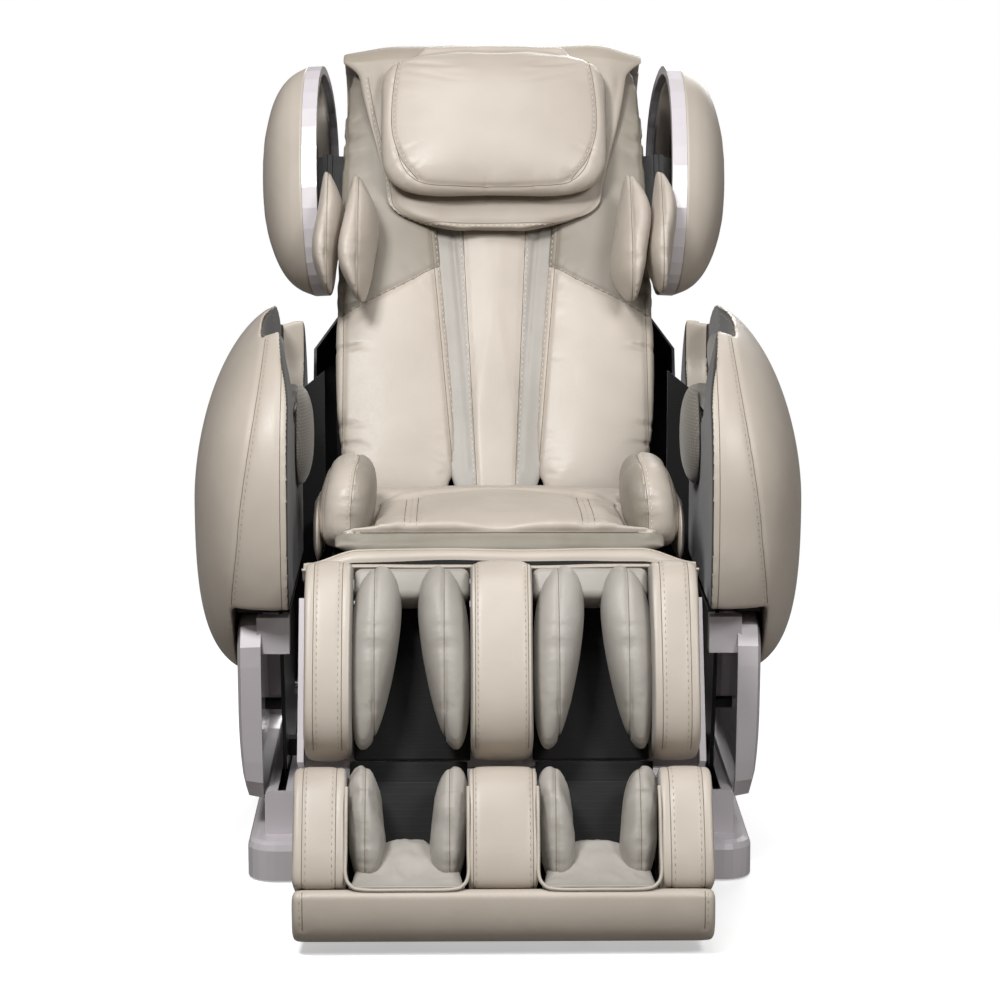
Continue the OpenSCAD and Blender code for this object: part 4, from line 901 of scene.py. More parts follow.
@dataclass
class Arms:
    """Leather-covered arms with their band, bulging side, forearm channel and airbags."""

    shop: Workshop
    band: float = 0.088
    channel_depth: float = 0.038
    channel_radius: float = 0.060
    channel_drop: float = 0.167      # from the arm's top to the channel's floor
    band_rise: float = 0.155         # from the side's lowest point to the band's lower end
    top_share: float = 0.69          # share of the nominal height above the widest line
    foot_share: float = 0.66
    channel_shade_z: float = 0.64   # above this the inward faces get painted shade in near-black
    inner_seam: float = 0.011        # from the inner face to the seam beside it
    bow_out: float = 0.018           # how far the front of the top leans outwards
    shade_gusset_y: float = 0.0995
    shade_gusset_slabs: tuple[tuple[float, ...], ...] = (
        (0.2875, 0.3350, 0.20, 0.486), (0.2720, 0.3090, 0.486, 0.705),
    )

    def ring(self, low: Vector, high: Vector, share: float, angle: float, shrink: float = 1.0) -> Vector:
        """A point of the arm's surface on its right side.

        Args:
            low: lowest corner of the arm's box.
            high: highest corner.
            share: 0 at the inner face and 1 at the outermost point.
            angle: radians from the rear over the top to the front.
            shrink: how far the ring is drawn towards its middle.

        Returns:
            The point.
        """
        height = (high.z - low.z) / (self.top_share + self.foot_share)
        mid_z = low.z + height * self.foot_share
        long = max(0.0, 1 - share**3) ** (1 / 3) * shrink
        tall = math.sqrt(max(0.0, 1 - share**2)) * shrink
        deep = max(0.0, 1 - share**3.4) ** (1 / 3.4) * shrink
        c = math.copysign(abs(math.cos(angle)) ** (2 / 2.35), math.cos(angle))
        s = math.copysign(abs(math.sin(angle)) ** (2 / 2.35), math.sin(angle))
        return Vector((
            low.x + (high.x - low.x) * share,
            (low.y + high.y) / 2 + c * (high.y - low.y) / 2 * long,
            mid_z + s * height * (self.top_share * tall if s > 0 else self.foot_share * deep),
        ))

    def shell(self, low: Vector, high: Vector) -> Mesh:
        """The arm's whole form before its cuts, on the right side."""
        bm = bmesh.new()
        bmesh.ops.create_uvsphere(bm, u_segments=160, v_segments=80, radius=1.0)
        for vert in bm.verts:
            unit = vert.co.normalized()
            share, radial = max(0.0, unit.z), math.hypot(unit.x, unit.y)
            shrink = 1.0 if unit.z >= 0 else radial
            vert.co = self.ring(low, high, share, math.atan2(unit.y, unit.x), shrink)
        bmesh.ops.remove_doubles(bm, verts=bm.verts[:], dist=0.01 * MM)
        bmesh.ops.recalc_face_normals(bm, faces=bm.faces[:])
        return bm

    def cutter(self, low: Vector, high: Vector, side: int) -> list[Piece]:
        """The blocks that open the forearm channel and the space under the band."""
        front, rear, floor = low.y + 0.180, high.y - 0.120, high.z - self.channel_drop
        wall = low.x + self.channel_depth
        under = (low.x + self.band - 1 * MM, high.y + 0.03, low.z + self.band_rise)
        blocks = [
            ((low.x - 0.02, low.y - 0.03, low.z - 0.05), under, 0),
            ((low.x - 0.03, front, floor), (wall, rear, high.z + 0.05), self.channel_radius),
        ]
        made = []
        for i, (a, b, radius) in enumerate(blocks):
            bm = bmesh.new()
            size = Matrix.Diagonal((*(Vector(b) - Vector(a)), 1))
            centre = Matrix.Translation((Vector(a) + Vector(b)) / 2)
            bmesh.ops.create_cube(bm, size=1.0, matrix=centre @ size)
            if radius:
                foot = [e for e in bm.edges if all(abs(v.co.z - a[2]) < 1e-6 for v in e.verts)
                        and abs(e.verts[0].co.y - e.verts[1].co.y) < 1e-6]
                bmesh.ops.bevel(
                    bm, geom=foot, offset=radius, segments=12, profile=0.5, affect="EDGES", material=-1
                )
            mirror(bm, side)
            made.append(to_object(bm, f"arm_cutter_{i}_{side}"))
        return made

    def build(self) -> None:
        """Makes both arms."""
        for name, side in SIDES.items():
            self.arm(name, side)
            self.airbags(name)
            self.shade_gusset(name, side)

    def arm(self, name: str, side: int) -> None:
        """One arm's leather, its seams and stitches."""
        low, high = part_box("arm_shell_right")
        bm = self.shell(low, high)
        mirror(bm, side)
        obj = to_object(bm, f"arm_leather_{name}")
        cutters = self.cutter(low, high, side)
        for cutter in cutters:
            cut = obj.modifiers.new("cut", "BOOLEAN")
            cut.operation, cut.object, cut.solver = "DIFFERENCE", cutter, "EXACT"
        bake(obj)
        for cutter in cutters:
            bpy.data.objects.remove(cutter)
        remesh(obj, 4.5 * MM)
        relax(obj, 3)
        flip = Matrix.Diagonal((side, 1, 1, 1))

        def bow(place: Vector, normal: Vector) -> Vector:
            inner = math.exp(-(((abs(place.x) - low.x) / 0.045) ** 2))
            rise = smooth_step(place.z, 0.70, 0.82) * smooth_step(-place.y, -0.05, 0.12)
            return place + X * side * self.bow_out * inner * rise

        reshape(obj, bow)

        def line(inset_at: Callable[[float], float], start: float, stop: float) -> tuple[Ray, ...]:
            points = []
            for i in range(121):
                t = i / 120
                share = inset_at(t) / (high.x - low.x)
                angle = math.radians(start + (stop - start) * t)
                points.append((flip @ self.ring(low, high, share, angle), None))
            return tuple(points)

        outer = line(lambda t: 0.087 - 0.050 * math.sin(math.pi * min(1.0, t * 1.15)) ** 1.3, 203, -14)
        inner = line(lambda t: self.inner_seam, 203, 128)
        rear_inner = line(lambda t: self.inner_seam, 48, -12)
        self.shop.sew(obj, "carriage", [
            Seam(outer, depth=1.6 * MM, rows=(side * 5.5 * MM,)),
            Seam(inner, depth=1.4 * MM, rows=(0.0,)),
            Seam(rear_inner, depth=1.4 * MM, rows=(0.0,)),
        ])

        # Inward faces of the channel and beside the seat get the near-black finish: painted shade.
        def in_painted_shade(face: Any) -> bool:
            at_seat = abs(face.center.x) < low.x + 2 * MM
            return face.normal.x * side < -0.6 and (at_seat or face.center.z > self.channel_shade_z)

        self.shop.paint(obj, LINING_AND_SHADE, in_painted_shade)
        self.shop.finish_piece(obj, "carriage", Slot.LEATHER, [f"arm_shell_{name}"], fill=0.9)

    def shade_gusset(self, name: str, side: int) -> None:
        """A near-black sheet that closes the gap between an arm and the seat as painted shade, its outer top
        corner cut down.
        """
        slabs = [(side * x0, side * x1, z0, z1) for x0, x1, z0, z1 in self.shade_gusset_slabs]
        obj = shade_slabs(f"arm_gusset_{name}", self.shade_gusset_y, slabs)
        for vert in obj.data.vertices:
            if vert.co.z > 0.70 and abs(vert.co.x) > 0.30:
                vert.co.z -= 0.030
        self.shop.line(obj, "carriage")

    def airbags(self, name: str) -> None:
        """The fabric airbags of one arm."""
        obj = pad_from(f"arm_pads_{name}", f"arm_airbags_{name}", STRAIGHT, levels=3)
        self.shop.finish_piece(obj, "carriage", Slot.DARK_FABRIC, [f"arm_pads_{name}"], fill=0.6)


@dataclass
class Seat:
    """Seat cushion, its apron and flap, and the hip bolsters with near-black sheets under them as painted shade.
    """

    shop: Workshop
    panel_share: float = 0.54        # where the panel seams run on half the width
    waist_share: float = 0.66        # where the waist seam runs on the height
    apron_cords: tuple[float, float] = (0.24, 0.76)
    hip_seam: float = 0.0225         # from the bolster's inner face to its inner seam
    hip_seam_lean: float = 0.010
    hip_top_width: float = 0.042     # between the bolster's two seams
    shade_skirt_y: float = -0.12
    shade_skirt_slab: tuple[float, ...] = (0.2445, 0.2845, 0.400, 0.474)
    flap_section: tuple[tuple[float, float], ...] = (
        (-0.3395, 0.4985), (-0.3465, 0.4970), (-0.3520, 0.4915), (-0.3545, 0.4830), (-0.3600, 0.4725),
        (-0.3690, 0.4705), (-0.3790, 0.4765), (-0.3870, 0.4850), (-0.3960, 0.4885), (-0.4020, 0.4860),
    )

    def build(self) -> None:
        """Makes the cushion, the apron with its flap and both bolsters."""
        self.cushion()
        self.apron()
        for name, side in SIDES.items():
            self.hip_bolster(name, side)

    def cushion(self) -> None:
        """The crowned cushion with its three panels and its grey underband, darkened as painted shade."""
        low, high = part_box("seat_cushion")
        obj = pad_from("seat_cushion", "seat_cushion_leather", STRAIGHT)
        centre = (low + high) / 2
        half = (high - low) / 2
        seam_z = low.z + (high.z - low.z) * self.waist_share

        def settle(place: Vector, normal: Vector) -> Vector:
            front = max(0.0, -(place.y - centre.y) / half.y)    # 0 at mid-depth, 1 at the front edge
            crown = smooth_step(place.z, low.z + 0.02, high.z)
            hollow = 9 * MM * bump_at(place.x, 0, 0.05) * front
            cheek = 7 * MM * (bump_at(place.x, 0.15, 0.07) + bump_at(place.x, -0.15, 0.07)) * front
            before_hips = smooth_step(-place.y, 0.288, 0.304)    # the cushion widens in front of the bolsters
            wide = 1 + 0.26 * before_hips * smooth_step(abs(place.x), 0.06, 0.19)
            a, b = front + 1e-6, abs(place.z - centre.z) / half.z + 1e-6
            boxy = (a**2.4 + b**2.4) ** (1 / 2.4) / (a**6 + b**6) ** (1 / 6) if place.y < centre.y else 1.0
            upper = smooth_step(place.z, low.z + 0.012, low.z + 0.026)
            boxy = 1 + (boxy - 1) * 0.8 * upper
            ahead = max(low.y + 0.004 + 0.018 * upper, centre.y + (place.y - centre.y) * boxy)
            return Vector((place.x * wide, ahead, place.z + crown * (cheek - hollow)))

        reshape(obj, settle)
        remesh(obj, 6.5 * MM)
        seams = []
        for side in (-1, 1):
            x = side * half.x * self.panel_share
            for off in (-9 * MM, 0.0, 9 * MM):
                path = around(Vector((x + off, centre.y, low.z + 0.02)), 170, 20, STRAIGHT)
                rows = () if off else (0.0,)
                seams.append(Seam(path, depth=2.0 * MM, rows=rows, line=off != 0.0, gather=0.6 * MM))
        edge = self.waist(centre, half, seam_z)
        seams.append(Seam(edge, depth=3.2 * MM, width=4.5 * MM, gather=1.2 * MM))

        # The underband's faces get grey leather darkened as painted shade.
        def banded(face: Any) -> bool:
            return face.center.z < seam_z and (face.normal.z < 0.3 or face.center.y < -0.30)

        self.shop.pads.append(Pad(
            obj, "seat", seams, 5.0, 7 * MM, 0.8, ["seat_cushion"], lambda p: p.z < low.z + 8 * MM,
            dress=lambda piece: self.shop.paint(piece, SHADED_UNDERBAND, banded),
        ))

    def waist(self, centre: Vector, half: Vector, seam_z: float) -> tuple[Ray, ...]:
        """Rays that meet the cushion's edge at its waist seam, along the front and both sides."""
        rays = []
        for i in range(241):
            angle = math.radians(-200 + 220 * i / 240)
            away = Vector((math.cos(angle) * half.x, math.sin(angle) * half.y, 0))
            rays.append((Vector((centre.x, centre.y, seam_z)), away.normalized()))
        return tuple(rays)

    def apron(self) -> None:
        """The rolled leather apron under the cushion, with its two piped edges."""
        low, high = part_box("seat_apron")
        obj = pad_from("seat_apron", "seat_apron_leather", STRAIGHT)
        self.shop.finish_piece(obj, "seat", Slot.LEATHER, ["seat_apron"], fill=0.3)
        surface = surface_of(obj)
        lines = []
        for drop in self.apron_cords:
            z = high.z - (high.z - low.z) * drop
            span_x = high.x - low.x - 12 * MM
            points = [Vector((low.x + 6 * MM + span_x * i / 40, low.y, z)) for i in range(41)]
            laid = lay(surface, pressed(points))
            lines.append([p.place + p.normal * 0.8 * MM for p in laid])
        piping = tube_mesh("seat_apron_piping", lines, 1.9 * MM, self.shop.finishes.of(PALE_THREAD))
        self.shop.finish_piece(piping, "seat", None)
        self.flap(high.x)

    def flap(self, half: float) -> None:
        """The loose leather that bridges the gap between the seat cushion and the calf unit."""
        across, thick = 72, 2.2 * MM
        profile = curve_through([Vector((0, y, z)) for y, z in self.flap_section], 4)
        bm = bmesh.new()
        rims = []
        for lift in (0.0, -thick):
            rows = []
            for i in range(across + 1):
                x = half * (2 * i / across - 1)
                end = smooth_step(abs(x), half * 0.72, half)
                row = []
                for k, p in enumerate(profile):
                    upper = 1 - k / (len(profile) - 1)
                    ripple = 0.0035 * noise.noise(Vector((x * 7, upper * 1.5, 3.0)))
                    sag = (0.016 * upper + 0.004) * end + ripple
                    row.append(bm.verts.new((x, p.y, p.z - sag + lift)))
                rows.append(row)
            weave(bm, rows)
            rims.append([[r[0] for r in rows], [r[-1] for r in rows], rows[0], rows[-1]])
        for upper_rim, lower_rim in zip(*rims):
            weave(bm, (upper_rim, lower_rim))
        bmesh.ops.recalc_face_normals(bm, faces=bm.faces[:])
        pipes = [[v.co + Vector((0, -0.5 * MM, 0.5 * MM)) for v in edge] for edge in rims[0][:2]]
        obj = to_object(bm, "calf_flap_leather")
        cord = tube_mesh("calf_flap_piping", pipes, 2.0 * MM, self.shop.finishes.of(Slot.LEATHER))
        # The valley between the flap's two straps gets the near-black finish: painted shade.
        self.shop.paint(obj, LINING_AND_SHADE, lambda face: -0.373 < face.center.y < -0.3535)
        for piece in (obj, cord):
            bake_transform(piece)

    def hip_bolster(self, name: str, side: int) -> None:
        """One padded hip bolster with its two seams, its flank and a near-black sheet beside the seat as painted
        shade.
        """
        node = f"hip_bolster_{name}"
        low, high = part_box(node)
        inner = low.x if side > 0 else high.x
        mid_z = (low.z + high.z) / 2 - 0.02
        bolster = pad_from(node, f"hip_bolster_leather_{name}", STRAIGHT, lambda p: p.z > mid_z)
        flank = pad_from(node, f"hip_flank_leather_{name}", STRAIGHT, lambda p: p.z <= mid_z, sharp=0.5)
        self.shop.finish_piece(flank, "seat", Slot.LEATHER, fill=0.4)
        top = high.z

        def lean(place: Vector, normal: Vector) -> Vector:
            over = smooth_step(place.z, mid_z - 0.02, top) * 0.012
            return Vector((inner + side * ((place.x - inner) * side * 1.30 - 0.008 - over), place.y, place.z))

        reshape(bolster, lean)
        remesh(bolster, 5.5 * MM)
        centre = middle(bolster.data.vertices)
        rays = []
        for out in circle():
            in_from = self.hip_seam - self.hip_seam_lean * max(0.0, out.z)
            rays.append((Vector((inner + side * in_from, centre.y, centre.z)), out))
        outer = tuple((o + X * side * self.hip_top_width, w) for o, w in rays)
        row = (side * 5 * MM,)
        seams = [
            Seam(tuple(rays), depth=3.0 * MM, width=4.5 * MM, rows=row, gather=1.4 * MM, pale=True),
            Seam(outer, depth=1.6 * MM, gather=0.8 * MM),
        ]

        # The bolster's inner face gets the darker SHADED leather: painted shade.
        def inside(face: Any) -> bool:
            over = max(0.0, face.center.z - centre.z) / (top - centre.z)
            return (face.center.x - inner) * side < self.hip_seam - self.hip_seam_lean * over

        self.shop.pads.append(Pad(
            bolster, "seat", seams, 5.0, 5 * MM, 0.8, [node], lambda p: p.z < low.z + 30 * MM,
            dress=lambda piece: self.shop.paint(piece, SHADED, inside),
        ))
        # A near-black sheet beside the seat: painted shade in the gap.
        x0, x1, z0, z1 = self.shade_skirt_slab
        shade_skirt = shade_slabs(f"seat_skirt_{name}", self.shade_skirt_y, [(side * x0, side * x1, z0, z1)])
        self.shop.line(shade_skirt, "seat")


@dataclass
class Backrest:
    """Back cushions, spine padding, head cover, pillow, wings and shoulder airbags."""

    shop: Workshop
    front: float = -0.055
    foot: float = 0.062
    length: float = 0.872
    seam_top: float = 0.83
    outer_seam_x: float = 0.246
    yoke_fall: tuple[tuple[float, float], ...] = ((0.150, 0.437), (0.262, 0.380))
    cover_fold: tuple[tuple[float, float], ...] = ((0.175, 0.82), (0.192, 0.72), (0.170, 0.62))
    rim_depth: float = 0.030                   # from a wing rim's middle to the seam behind it
    rim_flare: float = math.radians(6)

    def spine_half(self, z: float) -> float:
        """Half the width of the spine padding at a height up the back."""
        return 0.052 + 0.046 * min(1.0, max(0.0, (z - self.foot) / (0.62 * self.length)))

    def up(self, x_at: Callable[[float], float], start: float, stop: float, count: int = 24) -> list[Vector]:
        """Points up the back in its own frame."""
        heights = [start + (stop - start) * i / count for i in range(count + 1)]
        return [Vector((x_at(z), self.front, z)) for z in heights]

    def build(self) -> None:
        """Makes every piece of the backrest."""
        self.cushions()
        self.spine()
        self.head_cover()
        self.pillow()
        for name, side in SIDES.items():
            self.wing(name, side)
            self.shoulder_airbags(name, side)

    def cushions(self) -> None:
        """The two large cushions beside the spine."""
        for name, side in SIDES.items():
            obj = pad_from("back_cushions", f"back_cushion_leather_{name}", BACK, lambda p: p.x * side > 0)
            remesh(obj, 6.5 * MM)
            foot, top = self.foot + 0.01, self.seam_top
            inner = self.up(lambda z: side * (self.spine_half(z) + 0.012), foot, top)
            band = self.up(lambda z: side * (self.spine_half(z) + 0.003), foot, top)
            outer = self.up(lambda z: side * self.outer_seam_x, foot, top)
            corners = ((self.spine_half(0.47) + 0.004, 0.475), *self.yoke_fall)
            yoke = [Vector((side * x, self.front, z)) for x, z in corners]
            seams = [
                Seam(pressed(inner, BACK), depth=2.0 * MM, width=4 * MM, gather=1.0 * MM),
                Seam(pressed(band, BACK), depth=1.0 * MM, rows=(side * -3 * MM,), line=False, pale=True),
                Seam(pressed(yoke, BACK), depth=2.6 * MM, gather=1.2 * MM),
                Seam(pressed(outer, BACK), depth=2.0 * MM, gather=5.0 * MM),
            ]
            nodes = ["back_cushions"] if side > 0 else []
            self.shop.pads.append(Pad(
                obj, "back", seams, 5.0, 7 * MM, 0.85, nodes, lambda p: (BACK_HOME @ p).y > -0.024,
                dress=self.upper_panels(yoke),
            ))

    def upper_panels(self, yoke: Sequence[Vector]) -> Callable[[Piece], None]:
        """A painter that gives the faces above a back cushion's yoke seam painted shade, in the darker SHADED
        leather.
        """
        seam = [(abs(p.x), p.z) for p in curve_through(yoke)]

        def above(face: Any) -> bool:
            own = BACK_HOME @ face.center
            return own.z > min(seam, key=lambda s: abs(s[0] - abs(own.x)))[1]

        return lambda obj: self.shop.paint(obj, SHADED, above)

    def spine(self) -> None:
        """The padding over the spine: a flat panel between two sunken grey strips."""
        obj = pad_from("spine_cushion", "spine_panel_leather", BACK, levels=3)

        def widen(place: Vector, normal: Vector) -> Vector:
            lower = 1 - smooth_step((BACK_HOME @ place).z, 0.06, 0.42)
            return Vector((place.x * (1.08 + 0.34 * lower), place.y, place.z))

        reshape(obj, widen)
        seams = []
        for side in (-1, 1):
            edge = self.up(lambda z: side * self.spine_half(z) * 0.56, self.foot + 0.01, 0.80)
            seams.append(Seam(pressed(edge, BACK), depth=2.0 * MM, rows=(side * -4 * MM,), pale=True))
            fold = self.up(
                lambda z: side * self.spine_half(z) * (0.66 + 0.16 * max(0.0, (z - 0.2) / 0.6)),
                self.foot + 0.06, 0.72,
            )
            seams.append(Seam(pressed(fold, BACK), depth=3.5 * MM, width=5 * MM, line=False))
        self.shop.sew(obj, "back", seams)

        def beside(face: Any) -> bool:
            own = BACK_HOME @ face.center
            return abs(own.x) > self.spine_half(own.z) * 0.565

        self.shop.paint(obj, Slot.GREY_LEATHER, beside)
        self.shop.finish_piece(obj, "back", Slot.LEATHER, ["spine_cushion"], fill=0.7)

    def drape_half(self, z: float) -> float:
        """Half the width of the plain head cover at a height up the back."""
        low = self.length * 0.60
        u = (z - low) / (self.length - low)
        return 0.02 if u <= 0 else min(0.252, 0.02 + 0.218 * u**0.36 + 0.014 * u)

    def bib_half(self, z: float) -> float:
        """Half the width of the cover's round-cornered bib at a height up the back."""
        u = min(1.0, max(0.02, (z - 0.526) / 0.060))
        bib = 0.180 * (1 - (1 - u) ** 2.2) ** (1 / 2.2) + 0.045 * smooth_step(z, 0.56, 0.86)
        return bib + (self.drape_half(z) - bib) * smooth_step(z, 0.805, 0.845)

    def head_cover(self) -> None:
        """The draped cover over the head end."""
        obj = pad_from("head_cover", "head_cover_leather", BACK)

        def drape(place: Vector, normal: Vector) -> Vector:
            own = BACK_HOME @ place
            if own.y > 0.03:
                return place
            edge = abs(own.x) / self.drape_half(own.z)
            own.x *= self.bib_half(own.z) / self.drape_half(own.z)
            uneven = 1.2 if own.x > 0 else 0.0
            swag = 6.0 * MM * math.sin(edge * 8 + own.z * 16 + uneven) * max(0.0, edge - 0.35)
            ripple = noise.noise(Vector((own.x * 9, own.z * 4, 1.7))) * 2.5 * MM
            crest = smooth_step(own.z, 0.80, 0.86) * noise.noise(Vector((own.x * 11, 2.2, 0))) * 7 * MM
            corner = 9 * MM * smooth_step(abs(own.x), 0.17, 0.25) * smooth_step(own.z, 0.80, 0.86)
            return BACK @ (own + Z * (crest - corner)) + normal * (swag + ripple)

        subdivide(obj, 1)
        reshape(obj, drape)
        right = [Vector((0, self.front - 0.02, 0.537))]
        for z in (0.541, 0.552, 0.572, 0.600, 0.645, 0.700, 0.755, 0.805):
            right.append(Vector((self.bib_half(z) - 0.012, self.front - 0.02, z)))
        hem = [Vector((-p.x, p.y, p.z)) for p in reversed(right[1:])] + right
        seams = [Seam(pressed(hem, BACK), depth=1.6 * MM, rows=(-4 * MM,), pale=True)]
        for side in (-1, 1):
            fold = [Vector((side * x, self.front, z)) for x, z in self.cover_fold]
            seams.append(
                Seam(pressed(fold, BACK), depth=3.0 * MM, width=9 * MM, line=False, gather=2.5 * MM)
            )
        self.shop.sew(obj, "back", seams)
        # The whole cover gets the darker leather: painted shade.
        obj.data.materials.append(self.shop.finishes.of(SHADED_COVER))
        self.shop.finish_piece(obj, "back", Slot.LEATHER, ["head_cover"], fill=0.35)

    def pillow(self) -> None:
        """The head pillow with its side panels and lower band."""
        obj = pad_from("head_pillow", "head_pillow_leather", BACK)
        low, high = span(obj, BACK_HOME)
        face, foot, top, half = low.y, low.z, high.z - 0.019, high.x
        centre_z, half_z = (top + foot) / 2, (top - foot) / 2

        def square(place: Vector, normal: Vector) -> Vector:
            own = BACK_HOME @ place
            if own.z > top or own.y > face + 0.055:
                return place
            a, b = abs(own.x) / half + 1e-6, abs(own.z - centre_z) / half_z + 1e-6
            grow = (a**2.6 + b**2.6) ** (1 / 2.6) / (a**4.4 + b**4.4) ** (1 / 4.4)
            own.x *= grow
            own.z = centre_z + (own.z - centre_z) * grow
            return BACK @ own

        reshape(obj, square)
        remesh(obj, 5.5 * MM)
        seams = []
        for side in (-1, 1):
            edge = ((0.84, 0.05), (0.88, 0.25), (0.90, 0.45), (0.885, 0.62), (0.80, 0.80), (0.66, 0.93))
            panel = [Vector((side * half * w, face, top - 2 * half_z * d)) for w, d in edge]
            seams.append(
                Seam(pressed(panel, BACK), depth=2.4 * MM, rows=(side * -5 * MM,), gather=1.2 * MM, pale=True)
            )
        hem = ((0.86, 0.70), (0.78, 0.86), (0.62, 0.945), (0.3, 0.965))
        across = [(-w, d) for w, d in hem] + list(reversed(hem))
        band = [Vector((half * w, face, top - 2 * half_z * d)) for w, d in across]
        seams.append(Seam(pressed(band, BACK), depth=2.0 * MM, gather=1.6 * MM))
        self.shop.pads.append(Pad(
            obj, "pillow", seams, 6.0, 7 * MM, 0.75, ["head_pillow"],
            lambda p: (BACK_HOME @ p).y > face + 0.050,
        ))

    def wing(self, name: str, side: int) -> None:
        """One shoulder wing's leather with the seam behind its rim."""
        node = f"wing_shell_{name}"
        obj = pad_from(node, f"wing_leather_{name}", BACK, levels=3, sharp=math.radians(38))
        low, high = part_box(f"wing_rim_{name}")
        centre = BACK_HOME @ ((low + high) / 2)
        start = BACK @ Vector((centre.x + side * self.rim_depth, centre.y, centre.z))
        turn = BACK.to_3x3() @ Matrix.Rotation(side * self.rim_flare, 3, "Z")
        rays = tuple((start, turn @ out) for out in circle())
        self.shop.sew(obj, "back", [Seam(rays, depth=1.6 * MM, rows=(side * 5.0 * MM,))])
        self.shop.finish_piece(obj, "back", Slot.LEATHER, [node], fill=0.9)

    def shoulder_airbags(self, name: str, side: int) -> None:
        """The two leaf-shaped airbags of one shoulder."""
        node = f"shoulder_pads_{name}"
        low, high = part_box(node)
        split = (low.x + high.x) / 2
        for part, inside in (("inner", True), ("outer", False)):
            obj = pad_from(
                node, f"shoulder_airbag_{part}_{name}", BACK,
                lambda p: ((p.x - split) * side < 0) == inside,
            )
            mid = BACK_HOME @ middle(obj.data.vertices)
            fuller = 1.35 if inside else 1.15

            def swell(place: Vector, normal: Vector) -> Vector:
                own = BACK_HOME @ place
                tip = 1 - 0.30 * smooth_step(abs(own.z - mid.z), 0.045, 0.112)
                own.x = mid.x + (own.x - mid.x) * fuller * tip + 5 * MM * math.sin((own.z - mid.z) * 34)
                own.y -= 0.012 if inside else 0.0
                return BACK @ own

            reshape(obj, swell)
            remesh(obj, 5.0 * MM)
            seams = [Seam(leaf_ridge(obj, BACK), depth=1.8 * MM, width=4 * MM, gather=1.6 * MM)]
            self.shop.pads.append(Pad(obj, "back", seams, 4.0, 4 * MM, 0.7, [node] if inside else []))


def solid_middles(node: str) -> list[Vector]:
    """The middles of a node's solids, from the chair's left to its right."""
    bm = welded(node)
    spots = sorted((middle(group) for group in islands(bm)), key=lambda p: p.x)
    bm.free()
    return spots


def leaf_ridge(obj: Piece, own: Matrix) -> tuple[Ray, ...]:
    """Rays that meet a leaf-shaped pad all round its middle, in a frame's YZ plane."""
    low, high = span(obj, own.inverted())
    return around((low + high) / 2, 0, 360, own, 140)


